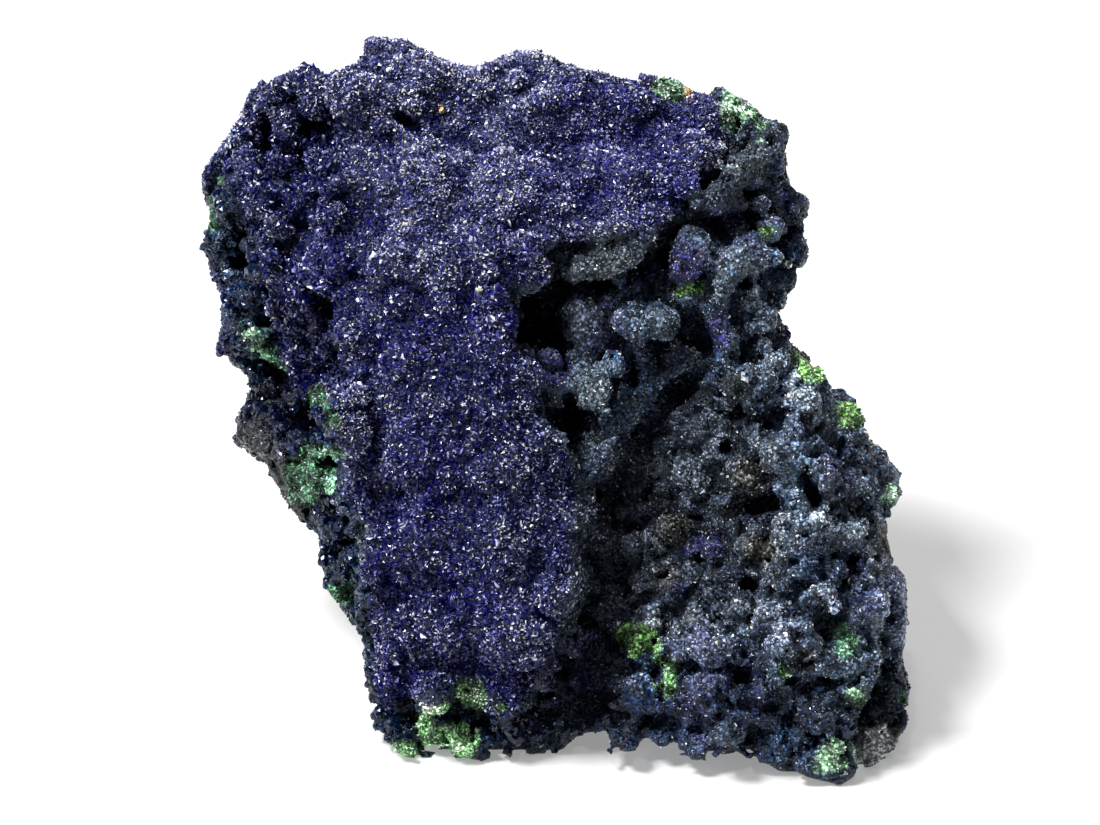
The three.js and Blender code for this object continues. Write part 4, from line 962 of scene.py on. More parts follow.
def zones(p, n):
    """Colour zones at points: a dict of weights from 0 to 1."""
    u, v, w = p.T
    wob = 0.55 * np.stack([sample(n2, p), sample(n1, p)], 1)
    uu, vv = u + 0.45 * wob[:, 0], v + 0.45 * wob[:, 1]
    rim = sample2(RIM, u, v)
    front = smooth(-1.5, 1.5, w - sample2(SPLIT, u, v))
    back = 1 - front
    top = sample2(CRUST_TOP, u, v)
    crust = sample2(CRUST, u, v)
    druse = smooth(-0.3, 0.7, crust + 0.25 * wob[:, 0]) * smooth(-3.2, -1.6, w - top) * front
    # the druse runs over the top edge
    druse = np.maximum(druse, smooth(22, 26, v) * smooth(15, 10, u) * smooth(-9, -5, w - rim) * smooth(-26, -22, u + 0.5 * v) * 0.9)
    more = np.max([polygon_distance(q, uu, vv) for q in MORE_DRUSE], 0)
    druse = np.maximum(druse, smooth(-0.5, 0.5, more) * front)
    band = np.max([polygon_distance(q, uu, vv) for q in GREY_BAND], 0)
    band = smooth(-0.6, 0.8, band) * front
    z = dict(front=front, back=back, druse=druse * (1 - 0.9 * band), band=band)
    for name, table in (("mal_mint", MALACHITE), ("mal_dark", MAL_DARK), ("mal_pale", MAL_PALE), ("mal_lime", MAL_LIME), ("pale", PALE), ("teal", TEAL), ("violet", VIOLET), ("ochre", OCHRE), ("dark", PAINTED_SHADE), ("painted_light", PAINTED_LIGHT)):
        z[name] = spots(table, uu, vv) * front
    kinds = np.stack([z[k] for k in ("mal_mint", "mal_dark", "mal_pale", "mal_lime")])
    most = kinds.max(0)
    for k in ("mal_dark", "mal_pale", "mal_lime"):
        z[k] = (z[k] >= most).astype(float)
    z["malachite"] = smooth(0.36, 0.46, most * (1 + 0.40 * sample(n1, p) + 0.30 * sample(n2, p)))
    m = smooth(1.75, 1.9, sample(n3, p) + 0.5 * sample(n2, p))
    z["malachite"] = np.maximum(z["malachite"], m * (druse < 0.3) * (back > 0.5))
    z["matrix"] = np.maximum(np.max([smooth(-0.5, 0.8, polygon_distance(q, uu, vv)) for q in MATRIX], 0) * front, back * smooth(0.1, 0.9, -sample(n4, p) + 0.35 * sample(n3, p)) * 0.85)
    z["bowl"] = sample2(BOWL_AREA, u, v) * front * (1 - druse)
    z["strip"] = sample2(SHADOW_STRIP, u, v) * front * (1 - druse)
    # These weights paint shade along the grooves where lumps join, in hollows and in enclosed spots, and paint light on
    # raised places.
    z["seam"] = np.clip(sample(SEAM, p), 0, 1) * (1 - 0.3 * druse)
    z["right"] = sample2(RIGHT_AREA, u, v) * front * (1 - druse)
    z["rough"] = sample2(ROUGH_AREA, u, v) * front
    z["hollow"] = np.clip(HOLLOW_CLOSE * sample(CLOSE, p) + HOLLOW_NEAR * sample(NEAR, p) + HOLLOW_WIDE * (sample(WIDE, p) - 0.02) + 0.06, -0.22, 1.6) * (1 - 0.40 * sample2(KNOBS_AREA, u, v) * front) * (1 - 0.5 * z["strip"])
    z["shut"] = smooth(0.10, 0.75, sample(OPEN, p + n * 0.6)) * 0.5 + smooth(0.0, 0.6, sample(OPEN2, p + n * 1.0)) * 0.5
    return z


EXPO = 1.14  # surface brightness for a given shade under these lights

# Shades as seen, 0 to 255: the middle tone of each kind of surface.
COL = {k: np.array(c, float) for k, c in dict(
    druse=(42, 46, 100), druse2=(50, 54, 122), rough=(32, 38, 86), band=(62, 72, 86), dark=(5, 7, 16),
    base=(50, 65, 88), base2=(58, 78, 100), indigo=(54, 60, 98), dust=(74, 82, 106), deep=(30, 28, 104), bowl=(49, 58, 72), bowl_shadow=(30, 36, 55),
    pale=(106, 117, 121), teal=(50, 84, 130), violet=(62, 60, 112), ochre=(118, 96, 66), amber=(188, 140, 92), cream=(200, 196, 160), white=(205, 208, 222), olive=(86, 80, 64),
    malachite=(76, 122, 92), mal_dark=(58, 92, 54), mal_pale=(118, 160, 124), mal_lime=(92, 138, 70),
    matrix=(84, 84, 86), matrix2=(62, 60, 58), mal_back=(62, 86, 70),
).items()}


def to_light(c):
    """Shades 0 to 255 to linear surface colours."""
    c = np.clip(c, 1.5, 250) / 255.0
    return EXPO * np.where(c <= 0.04045, c / 12.92, ((c + 0.055) / 1.055) ** 2.4)


def level(c, f, keep=0.0):
    """Makes shades c lighter or darker by the factor f, keeping their tint even in the bright ones;
    with keep, the light ones stay as full in colour as the middle ones."""
    l = (c * (0.2126, 0.7152, 0.0722)).sum(-1)
    return (c + (l * (f - 1))[..., None]) * (1 - keep) + c * f[..., None] * keep


def mix(c, name, t):
    return c * (1 - t[:, None]) + COL[name] * t[:, None]


def colour(p, z):
    """Shade and brightness factor at each point."""
    a, b, c3 = sample(n1, p), sample(n2, p), sample(n3, p)
    u, v = p[:, 0], p[:, 1]
    c = np.repeat(COL["base"][None], len(p), 0)
    c = mix(c, "base2", smooth(-0.6, 1.2, b))
    c = mix(c, "indigo", 0.7 * smooth(0.2, 1.3, c3 + 0.4 * a))
    c = mix(c, "bowl", 0.85 * z["bowl"])
    c = mix(c, "matrix2", z["back"] * 0.5)
    c = mix(c, "band", 0.85 * z["band"])
    # painted shadow colour along the strip below the crust's edge
    c = mix(c, "bowl_shadow", 0.9 * z["strip"] * (1 - z["band"]))
    c = mix(c, "druse", z["druse"])
    c = mix(c, "rough", 0.7 * z["druse"] * z["rough"])
    c = mix(c, "druse2", 0.35 * z["druse"] * smooth(0.2, 1.6, b))
    c = mix(c, "deep", 0.40 * z["druse"] * smooth(0.1, 1.4, -c3 + 0.5 * b))
    c = mix(c, "dust", (0.22 - 0.12 * smooth(10, 21, v)) * z["druse"] * smooth(0.3, 1.6, c3 + 0.5 * a) * (1 - 0.5 * z["rough"]))
    c = mix(c, "teal", 0.85 * z["teal"] * smooth(-1.6, 0.2, a))
    c = mix(c, "violet", 0.9 * z["violet"])
    c = mix(c, "pale", 0.9 * z["pale"] * smooth(-2.0, -0.2, a))
    c = mix(c, "olive", 0.85 * z["ochre"] * (z["ochre"] < 0.95))
    c = mix(c, "ochre", 1.0 * (z["ochre"] >= 0.95))
    c = mix(c, "matrix", 0.95 * z["matrix"])
    c = mix(c, "olive", 0.35 * z["matrix"] * z["back"] * smooth(-0.4, 1.2, b))
    m = z["malachite"]
    c = mix(c, "malachite", m)
    c = mix(c, "mal_dark", m * z["mal_dark"])
    c = mix(c, "mal_pale", m * z["mal_pale"])
    c = mix(c, "mal_lime", m * z["mal_lime"])
    c = mix(c, "mal_back", 0.85 * m * z["back"] * smooth(-1.2, 0.6, a + 0.5 * b))
    # Painted light: the druse is lighter towards its top, where the face turns up towards the light.
    f = 1 + 0.74 * z["druse"] * smooth(10, 21, v) * (1 - 0.7 * z["rough"])
    f = f * np.exp(0.17 * a + 0.15 * b + 0.08 * c3) * (1 - 0.25 * z["band"] * smooth(0, 10, v)) * (1 - 0.45 * z["violet"]) * (1 + 0.30 * z["teal"]) * (1 + (1 - z["back"]) * m * z["mal_dark"] * (0.4 + 1.7 * (u < 0))) * (1 + (1 - z["back"]) * 0.25 * m * z["mal_pale"])
    f = f * (1 + (0.60 * z["right"] + 0.40 * z["bowl"] * (1 - z["strip"])) * (1 - z["druse"]))
    f = f * (1 + 0.18 * z["back"] * (1 - m)) * (1 - 0.55 * z["back"] * m)
    # Painted light on the knob area and along the shadow strip, offsetting the lamps' own shadows there.
    f = f * (1 + 0.24 * sample2(KNOBS_AREA, u, v) * z["front"] * (1 - z["druse"])) * (1 + 1.1 * z["strip"] * (1 - z["band"]))
    f = f * (1 - 0.46 * z["front"] * smooth(-23, -27, v) * (1 - z["pale"]) * (1 - z["matrix"]) * (1 - m * (u < 0)))
    f = f * (1 - 0.34 * smooth(-32, -29, u) * smooth(-21, -24, u) * smooth(-6, -3, v) * smooth(6, 3, v) * z["front"] * (1 - m))
    f = f * (1 - 0.38 * sample2(LEFT_AREA, u, v) * z["front"] * (1 - z["druse"]) * (1 - 0.8 * m) * (1 - z["matrix"]))
    # Painted shade in hollows, painted light on raised places and at the painted-light spots.
    f = f * np.exp(-z["hollow"]) * (1 + 0.6 * z["painted_light"])
    # Painted light: the matrix keeps a narrow brightness range, raised at painted-light spots, and its lump at the
    # lower right is lit up.
    f = f * (1 - z["matrix"] * z["front"]) + np.clip(f, 0.45 + 0.95 * z["painted_light"], 0.95 + 0.9 * z["painted_light"]) * z["matrix"] * z["front"]
    f = f * (1 + 1.1 * z["matrix"] * z["front"] * smooth(24, 27, u) * smooth(-26, -28, v))
    # Painted shade in enclosed spots, at the painted-shade spots and along the grooves where lumps join.
    f = f * (1 - 0.75 * z["shut"]) * (1 - 0.85 * z["dark"] * (1 - 0.7 * m)) * (1 - 0.60 * z["seam"])
    return c, f


# ---------------------------------------------------------------- materials
def mat_grains(name, cell_mm, dark, light, rough_lo, rough_hi, ior, relief, shine=(1, 1, 1), spec=0.5):
    """Rock made of small grains: each grain has its own shade, tilt and polish. The colour comes from the mesh."""
    m = bpy.data.materials.new(name)
    m.use_nodes = True
    nt = m.node_tree
    nt.nodes.clear()
    L = nt.links.new

    def node(kind, **values):
        n = nt.nodes.new(kind)
        for k, v in values.items():
            setattr(n, k, v)
        return n

    def maths(op, x, y=None, z=None):
        n = node("ShaderNodeMath", operation=op)
        for i, q in enumerate((x, y, z)):
            if q is None:
                continue
            if isinstance(q, (int, float)):
                n.inputs[i].default_value = q
            else:
                L(q, n.inputs[i])
        return n.outputs[0]

    out = node("ShaderNodeOutputMaterial")
    bs = node("ShaderNodeBsdfPrincipled")
    L(bs.outputs[0], out.inputs[0])
    bs.inputs["IOR"].default_value = ior
    bs.inputs["Specular Tint"].default_value = (*shine, 1)
    bs.inputs["Specular IOR Level"].default_value = spec
    at = node("ShaderNodeAttribute", attribute_name="tint")
    co = node("ShaderNodeTexCoord")
    cells = node("ShaderNodeVectorMath", operation="SCALE")
    cells.inputs["Scale"].default_value = 1000.0 / cell_mm
    L(co.outputs["Object"], cells.inputs[0])
    vo = node("ShaderNodeTexVoronoi", feature="F1")
    vo.inputs["Scale"].default_value = 1.0
    L(cells.outputs[0], vo.inputs["Vector"])
    rgb = node("ShaderNodeSeparateColor")
    L(vo.outputs["Color"], rgb.inputs[0])
    r, g, b = rgb.outputs
    no = node("ShaderNodeTexNoise")
    no.inputs["Scale"].default_value = 0.35
    no.inputs["Detail"].default_value = 3.0
    L(cells.outputs[0], no.inputs["Vector"])
    # shade: most grains dark, a few light, with painted shade where they meet
    tone = maths("MULTIPLY_ADD", maths("POWER", r, 3.4), light - dark, dark)
    meet = node("ShaderNodeMapRange")
    meet.inputs["From Min"].default_value = 0.20
    meet.inputs["From Max"].default_value = 0.75
    meet.inputs["To Min"].default_value = 1.12
    meet.inputs["To Max"].default_value = 0.35
    L(vo.outputs["Distance"], meet.inputs["Value"])
    cloud = node("ShaderNodeMapRange")
    cloud.inputs["From Min"].default_value = 0.3
    cloud.inputs["From Max"].default_value = 0.7
    cloud.inputs["To Min"].default_value = 0.65
    cloud.inputs["To Max"].default_value = 1.35
    L(no.outputs["Fac"], cloud.inputs["Value"])
    shade = maths("MULTIPLY", maths("MULTIPLY", tone, meet.outputs[0]), cloud.outputs[0])
    mul = node("ShaderNodeVectorMath", operation="SCALE")
    L(at.outputs["Color"], mul.inputs[0])
    L(shade, mul.inputs["Scale"])
    L(mul.outputs[0], bs.inputs["Base Color"])
    L(maths("MULTIPLY_ADD", g, rough_hi - rough_lo, rough_lo), bs.inputs["Roughness"])
    # relief: each grain a small tilted dome
    off = node("ShaderNodeVectorMath", operation="SUBTRACT")
    L(cells.outputs[0], off.inputs[0])
    L(vo.outputs["Position"], off.inputs[1])
    way = node("ShaderNodeVectorMath", operation="SUBTRACT")
    L(vo.outputs["Color"], way.inputs[0])
    way.inputs[1].default_value = (0.5, 0.5, 0.5)
    dot = node("ShaderNodeVectorMath", operation="DOT_PRODUCT")
    L(off.outputs[0], dot.inputs[0])
    L(way.outputs[0], dot.inputs[1])
    high = maths("SUBTRACT", maths("MULTIPLY", dot.outputs["Value"], 1.6), maths("MULTIPLY", vo.outputs["Distance"], 0.5))
    bp = node("ShaderNodeBump")
    bp.inputs["Strength"].default_value = relief
    bp.inputs["Distance"].default_value = cell_mm * 1e-3
    L(high, bp.inputs["Height"])
    L(bp.outputs[0], bs.inputs["Normal"])
    return m


def mat_crystal(name, rough_lo, rough_hi, ior, fleck, shine=(1, 1, 1), spec=0.5):
    """Crystal faces: the colour comes from the mesh, a little uneven, with uneven polish."""
    m = bpy.data.materials.new(name)
    m.use_nodes = True
    nt = m.node_tree
    nt.nodes.clear()
    N, L = nt.nodes.new, nt.links.new
    out = N("ShaderNodeOutputMaterial")
    bs = N("ShaderNodeBsdfPrincipled")
    L(bs.outputs[0], out.inputs[0])
    bs.inputs["IOR"].default_value = ior
    bs.inputs["Specular Tint"].default_value = (*shine, 1)
    bs.inputs["Specular IOR Level"].default_value = spec
    at = N("ShaderNodeAttribute")
    at.attribute_name = "tint"
    co = N("ShaderNodeTexCoord")
    n = N("ShaderNodeTexNoise")
    n.inputs["Scale"].default_value = 2600.0
    n.inputs["Detail"].default_value = 4.0
    n.inputs["Roughness"].default_value = 0.65
    L(co.outputs["Object"], n.inputs["Vector"])
    n_b = N("ShaderNodeTexNoise")
    n_b.inputs["Scale"].default_value = 6000.0
    n_b.inputs["Detail"].default_value = 2.0
    L(co.outputs["Object"], n_b.inputs["Vector"])
    ramp = N("ShaderNodeMapRange")
    ramp.inputs["From Min"].default_value = 0.3
    ramp.inputs["From Max"].default_value = 0.7
    ramp.inputs["To Min"].default_value = 1 - fleck
    ramp.inputs["To Max"].default_value = 1 + fleck
    L(n.outputs["Fac"], ramp.inputs["Value"])
    mul = N("ShaderNodeVectorMath")
    mul.operation = "SCALE"
    L(at.outputs["Color"], mul.inputs[0])
    L(ramp.outputs["Result"], mul.inputs["Scale"])
    L(mul.outputs[0], bs.inputs["Base Color"])
    rr = N("ShaderNodeMapRange")
    rr.inputs["From Min"].default_value = 0.3
    rr.inputs["From Max"].default_value = 0.7
    rr.inputs["To Min"].default_value = rough_lo
    rr.inputs["To Max"].default_value = rough_hi
    L(n_b.outputs["Fac"], rr.inputs["Value"])
    L(rr.outputs["Result"], bs.inputs["Roughness"])
    return m


ROCK = mat_grains("azurite_rock", 0.27, 0.30, 4.1, 0.16, 0.75, 1.50, 0.85, (0.9, 0.94, 1.0), 0.5)
CRYSTAL = mat_crystal("azurite_crystals", 0.05, 0.20, 1.55, 0.30, (0.80, 0.84, 1.0), 0.34)
GRAIN = mat_crystal("azurite_fine_druse", 0.10, 0.35, 1.52, 0.30, (0.88, 0.93, 1.0), 0.35)
GREEN = mat_crystal("malachite_growth", 0.40, 0.75, 1.50, 0.30, (0.92, 1.0, 0.95), 0.35)


def new_mesh(name, v, faces, tint, material, flat=True):
    me = bpy.data.meshes.new(name)
    v = np.clip(v, BOX_LO - 0.026 * BOX_SPAN * (1, 1, 0), BOX_HI + 0.026 * BOX_SPAN)
    k = faces.shape[1]
    me.vertices.add(len(v))
    me.vertices.foreach_set("co", (v * 1e-3).astype(np.float32).ravel())
    me.loops.add(faces.size)
    me.loops.foreach_set("vertex_index", faces.astype(np.int32).ravel())
    me.polygons.add(len(faces))
    me.polygons.foreach_set("loop_start", np.arange(0, faces.size, k, dtype=np.int32))
    me.polygons.foreach_set("use_smooth", np.full(len(faces), not flat))
    me.update(calc_edges=True)
    a = me.attributes.new("tint", "FLOAT_COLOR", "CORNER" if len(tint) == faces.size else "POINT")
    a.data.foreach_set("color", np.concatenate([tint, np.ones((len(tint), 1))], 1).astype(np.float32).ravel())
    me.materials.append(material)
    me.validate()
    ob = bpy.data.objects.new(name, me)
    bpy.context.scene.collection.objects.link(ob)
    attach(ob, "root")
    return ob


# ---------------------------------------------------------------- the body
zb = zones(verts, normals)
cb, fb_ = colour(verts, zb)
# Painted shade: the rock between the crystals is darker, most of all under the druse.
under = 0.85 - 0.60 * zb["druse"]
tint_body = to_light(level(cb, fb_ * under, 0.65 * zb["malachite"][:, None]))
vw = world(verts)
vw[:, 2] = np.maximum(vw[:, 2], 0)
vw[:, 2] = np.where(vw[:, 2] < 0.12, 0.0, vw[:, 2])
body = new_mesh("azurite_body", vw, tris, tint_body, ROCK, flat=False)
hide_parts("azurite_specimen")

# ---------------------------------------------------------------- the crystals
tri_p = verts[tris]
tri_n = np.cross(tri_p[:, 1] - tri_p[:, 0], tri_p[:, 2] - tri_p[:, 0])
tri_a = np.linalg.norm(tri_n, axis=1) / 2


def scatter(rng, per_mm2):
    """Even random points on the body: points and directions, in the face's directions."""
    want = int(tri_a.sum() * per_mm2 * 3.2)
    pick = rng.choice(len(tris), want, p=tri_a / tri_a.sum())
    a, b = rng.random(want), rng.random(want)
    fl = a + b > 1
    a[fl], b[fl] = 1 - a[fl], 1 - b[fl]
    t = tri_p[pick]
    p = t[:, 0] + a[:, None] * (t[:, 1] - t[:, 0]) + b[:, None] * (t[:, 2] - t[:, 0])
    nn = normals[tris[pick]]
    n = nn[:, 0] * (1 - a - b)[:, None] + nn[:, 1] * a[:, None] + nn[:, 2] * b[:, None]
    n /= np.linalg.norm(n, axis=1, keepdims=True) + 1e-12
    cell = 1 / math.sqrt(per_mm2)
    q, _ = np.linalg.qr(rng.standard_normal((3, 3)))
    key = np.floor(p @ q / cell + 5000).astype(np.int64)
    key = (key[:, 0] * 20000 + key[:, 1]) * 20000 + key[:, 2]
    _, first = np.unique(key, return_index=True)
    first = rng.permutation(first)
    return p[first], n[first]


def frames(rng, n, tilt):
    """Local axes for each crystal: z leans away from n by a random angle up to tilt."""
    r = rng.standard_normal(n.shape)
    t = r - (r * n).sum(1, keepdims=True) * n
    t /= np.linalg.norm(t, axis=1, keepdims=True) + 1e-9
    a = (tilt * np.sqrt(rng.random(len(n))))[:, None]
    z = n * np.cos(a) + t * np.sin(a)
    r = rng.standard_normal(n.shape)
    x = r - (r * z).sum(1, keepdims=True) * z
    x /= np.linalg.norm(x, axis=1, keepdims=True) + 1e-9
    return x, np.cross(z, x), z


# A wedge: four base corners, sunk in the rock, and a short ridge on top.
WEDGE = np.array([[0, 1, 5], [0, 5, 4], [2, 3, 4], [2, 4, 5], [1, 2, 5], [3, 0, 4], [3, 2, 1], [3, 1, 0]])
# A spike: three base corners and a point.
SPIKE = np.array([[0, 1, 3], [1, 2, 3], [2, 0, 3], [2, 1, 0]])


def wedges(rng, p, n, size, tall, tilt):
    k = len(p)
    x, y, z = frames(rng, n, tilt)
    a = size * rng.uniform(0.75, 1.25, k) * 0.5
    b = size * rng.uniform(0.28, 0.60, k) * 0.5
    h = size * tall * rng.uniform(0.7, 1.2, k)
    down = size * 0.25
    e = rng.uniform(0.35, 0.85, (k, 2))
    s = rng.uniform(-0.5, 0.5, (k, 2)) * b[:, None]
    dh = rng.uniform(0.75, 1.0, (k, 2))
    c = np.zeros((k, 6, 3))
    for i, (sx, sy) in enumerate(((-1, -1), (1, -1), (1, 1), (-1, 1))):
        c[:, i] = p + x * (sx * a * rng.uniform(0.8, 1.1, k))[:, None] + y * (sy * b)[:, None] - z * down[:, None]
    c[:, 4] = p - x * (a * e[:, 0])[:, None] + y * s[:, :1] + z * (h * dh[:, 0])[:, None]
    c[:, 5] = p + x * (a * e[:, 1])[:, None] + y * s[:, 1:] + z * (h * dh[:, 1])[:, None]
    faces = (np.arange(k)[:, None, None] * 6 + WEDGE[None]).reshape(-1, 3)
    return c.reshape(-1, 3), faces, 8


def spikes(rng, p, n, size, tall, tilt):
    k = len(p)
    x, y, z = frames(rng, n, tilt)
    c = np.zeros((k, 4, 3))
    turn = rng.uniform(0, 2 * math.pi, k)
    wide = size * 0.58
    thin = rng.uniform(0.45, 0.9, k)
    for i in range(3):
        a = turn + i * 2 * math.pi / 3 + rng.uniform(-0.35, 0.35, k)
        c[:, i] = p + x * (wide * np.cos(a))[:, None] + y * (wide * thin * np.sin(a))[:, None] - z * (size * 0.22)[:, None]
    top = size * tall * rng.uniform(0.7, 1.25, k)
    lean = rng.uniform(-0.35, 0.35, (k, 2)) * size[:, None]
    c[:, 3] = p + z * top[:, None] + x * lean[:, :1] + y * lean[:, 1:]
    faces = (np.arange(k)[:, None, None] * 4 + SPIKE[None]).reshape(-1, 3)
    return c.reshape(-1, 3), faces, 4


def corner_tints(rng, c, f, per, tri, heights, spread, glint, keep, shade_foot_light_tip):
    """A colour for each corner of each facet: painted shade at the foot of a crystal and painted light at its
    tip, with each facet lighter or darker, and some facets painted bright as glints."""
    k = len(c)
    spread = spread[:, None]
    g = f[:, None] * np.exp(rng.normal(0, 1, (k, per)) * spread - 0.35 * spread**2)
    hit = rng.random((k, per)) < glint[:, None]
    g = np.where(hit, np.maximum(g, f[:, None] ** 0.5 * rng.uniform(1.8, 3.6, (k, per))), g)
    low, tip = shade_foot_light_tip
    rise = low + (tip - low) * heights[tri]  # facet corners
    rise = np.where(hit[..., None], 1.0, rise[None])
    return to_light(level(c[:, None, None], g[..., None] * rise, keep)).reshape(-1, 3)


def make_piece(name, ids_parts, builder, P, Nn, size, tall, tilt, C, F, spread, glint, material, seed, keep=0.0, shade_foot_light_tip=(0.08, 1.80)):
    tri, heights = (WEDGE, np.array([0, 0, 0, 0, 1.0, 1.0])) if builder is wedges else (SPIKE, np.array([0, 0, 0, 1.0]))
    for j, ids in enumerate(ids_parts):
        r = np.random.default_rng(seed + j)
        v, f, per = builder(r, P[ids], Nn[ids], size[ids], tall[ids], tilt[ids])
        ft = corner_tints(r, C[ids], F[ids], per, tri, heights, np.broadcast_to(spread, len(P))[ids], glint[ids], keep, shade_foot_light_tip)
        v = world(v)
        v[:, 2] = np.maximum(v[:, 2], 0.01)
        o = new_mesh(name + ("_%d" % (j + 1) if len(ids_parts) > 1 else ""), v, f, ft, material)
        groups.append((o.name, len(f)))


def parts_of(mask, P, most):
    ids = np.flatnonzero(mask)
    if len(ids) == 0:
        return []
    ids = ids[np.argsort(-P[ids, 1], kind="stable")]
    return np.array_split(ids, int(math.ceil(len(ids) / most)))


groups = []


def prepare(seed, density):
    r = np.random.default_rng(seed)
    P, Nn = scatter(r, density)
    Z = zones(P, Nn)
    ok = height(*P.T) > 0.6
    P, Nn = P[ok], Nn[ok]
    Z = {k: v[ok] for k, v in Z.items()}
    C, F = colour(P, Z)
    return r, P, Nn, Z, C, F * np.exp(r.normal(-0.06, 0.38, len(P)))


# Druse on the face: larger wedges among a close cover of small spikes, and some wedges elsewhere.
r, P, Nn, Z, C, F = prepare(7, 4.2)
k = len(P)
druse = Z["druse"] > 0.5
green = Z["malachite"] > 0.5
size = np.clip(r.lognormal(math.log(0.36), 0.30, k), 0.22, 0.95) * np.where(Z["rough"] > 0.5, 1.2, 1.0)
open_ = 1 - Z["shut"]
top = smooth(10, 21, P[:, 1]) * (1 - 0.7 * Z["rough"])
size = size * (1 - 0.18 * top)
mask = druse & ~green & (r.random(k) > 0.55 * Z["shut"])
make_piece("druse_crystals", parts_of(mask, P, 24000), wedges, P, Nn, size, np.full(k, 0.62), np.full(k, math.radians(62)), C, F,
           1.06 - 0.34 * top, 0.024 * open_ * (1 - 0.5 * top), CRYSTAL, 500)
mask = ~druse & ~green & (Z["front"] > 0.5) & (r.random(k) < 0.30 * open_ * (1 - 0.9 * Z["matrix"]) * (1 - 0.5 * Z["seam"]))
make_piece("front_crystals", parts_of(mask, P, 24000), wedges, P, Nn, np.minimum(size * 0.90, 0.6), np.full(k, 0.36), np.full(k, math.radians(58)), C, F,
           0.80, 0.036 * open_, CRYSTAL, 510)
r, P, Nn, Z, C, F = prepare(8, 9.5)
k = len(P)
druse = Z["druse"] > 0.5
green = Z["malachite"] > 0.5
open_ = 1 - Z["shut"]
size = np.clip(r.lognormal(math.log(0.33), 0.24, k), 0.20, 0.6)
top = smooth(10, 21, P[:, 1]) * (1 - 0.7 * Z["rough"])
size = size * (1 - 0.15 * top)
make_piece("druse_fine", parts_of(druse & ~green, P, 48000), spikes, P, Nn, size, np.full(k, 0.66), np.full(k, math.radians(55)), C, F,
           1.06 - 0.34 * top, 0.028 * open_ * (1 - 0.5 * top), CRYSTAL, 520)
# Fine druse on everything else.
other = ~druse & ~green
front = Z["front"] > 0.5
thin = r.random(k) < np.where(Z["matrix"] > 0.5, 0.04, 0.42) * (1 - 0.35 * Z["seam"])
size = np.clip(r.lognormal(math.log(0.30), 0.24, k), 0.18, 0.5)
make_piece("front_fine", parts_of(other & front & thin, P, 48000), spikes, P, Nn, size, np.full(k, 0.30), np.full(k, math.radians(45)), C, F,
           0.60, 0.006 * open_ * (1 - 0.6 * Z["matrix"]), GRAIN, 540)
back_keep = other & ~front & (r.random(k) < 0.22)
make_piece("back_fine", parts_of(back_keep, P, 48000), spikes, P, Nn, size * 1.35, np.full(k, 0.45), np.full(k, math.radians(50)), C, F,
           0.55, 0.015 * open_ * (1 - 0.6 * Z["matrix"]), GRAIN, 560)
# Malachite: a thick nap of small pale and dark green points.
r, P, Nn, Z, C, F = prepare(9, 13.0)
k = len(P)
green = Z["malachite"] > 0.5
size = np.clip(r.lognormal(math.log(0.27), 0.25, k), 0.15, 0.5)
make_piece("malachite", parts_of(green & (r.random(k) < np.where(Z["front"] > 0.5, 0.45, 0.25)), P, 48000), spikes, P, Nn, size, np.full(k, 0.6), np.full(k, math.radians(60)), C, F * 1.25,
           0.32, np.full(k, 0.0), GREEN, 580, 0.40, (0.50, 1.35))

# Beads: small round growths of azurite.
r = np.random.default_rng(77)
P, Nn = scatter(r, 1.3)
Z = zones(P, Nn)
left = sample2(LEFT_AREA, P[:, 0], P[:, 1])
right = sample2(RIGHT_AREA, P[:, 0], P[:, 1])
knob = sample2(KNOBS_AREA, P[:, 0], P[:, 1])
chance = np.where(Z["front"] > 0.5, 0.05 + 0.75 * left - 0.03 * right - 0.03 * knob, 0.10) * (1 - 0.7 * Z["bowl"]) * (1 - 0.8 * Z["matrix"])
chance = chance * (Z["druse"] < 0.3) * (height(*P.T) > 1.4) * (Z["malachite"] < 0.6)
edge_room = sample2(polygon_distance(OUTLINE, UU, VV), P[:, 0], P[:, 1])
keep = r.random(len(P)) < chance
P, Nn, edge_room = P[keep], Nn[keep], edge_room[keep]
Z = {k: v[keep] for k, v in Z.items()}
rad = np.minimum(np.clip(r.lognormal(math.log(0.42), 0.32, len(P)), 0.25, 0.9), 0.4 + np.maximum(edge_room, 0))
bm_v, bm_f = None, None
import bmesh

bm = bmesh.new()
bmesh.ops.create_icosphere(bm, subdivisions=2, radius=1.0)
bm_v = np.array([v.co[:] for v in bm.verts])
bm_f = np.array([[v.index for v in f.verts] for f in bm.faces])
bm.free()
print("beads found", len(P))
kb = min(len(P), 1400)
P, Nn, rad = P[:kb], Nn[:kb], rad[:kb]
C, F = colour(P, {k: v[:kb] for k, v in Z.items()})
F = F * np.exp(r.normal(-0.30, 0.3, kb))
centre = P - Nn * (rad * r.uniform(0.0, 0.35, kb))[:, None]
q, _ = np.linalg.qr(r.standard_normal((3, 3)))
bump = 1 + 0.13 * r.standard_normal((kb, len(bm_v)))
bv = centre[:, None] + (bm_v @ q)[None] * (rad[:, None] * bump)[..., None]
# Painted shade on the bead sides that face into the rock; a few facets are painted bright as glints.
facing = ((bm_v @ q)[None] * Nn[:, None]).sum(-1)
per_facet = np.exp(r.normal(-0.2, 0.55, (kb, len(bm_f))))
per_facet = np.where(r.random(per_facet.shape) < 0.035, r.uniform(2.0, 4.0, per_facet.shape), per_facet)
bead_f = F[:, None, None] * (0.25 + 0.85 * smooth(-0.2, 0.7, facing))[:, bm_f] * per_facet[..., None]
bt = to_light(level(C[:, None, None], bead_f))
bf = (np.arange(kb)[:, None, None] * len(bm_v) + bm_f[None]).reshape(-1, 3)
bw = world(bv.reshape(-1, 3))
bw[:, 2] = np.maximum(bw[:, 2], 0.01)
beads = new_mesh("beads", bw, bf, bt.reshape(-1, 3), CRYSTAL)
groups.append(("beads", len(bf)))
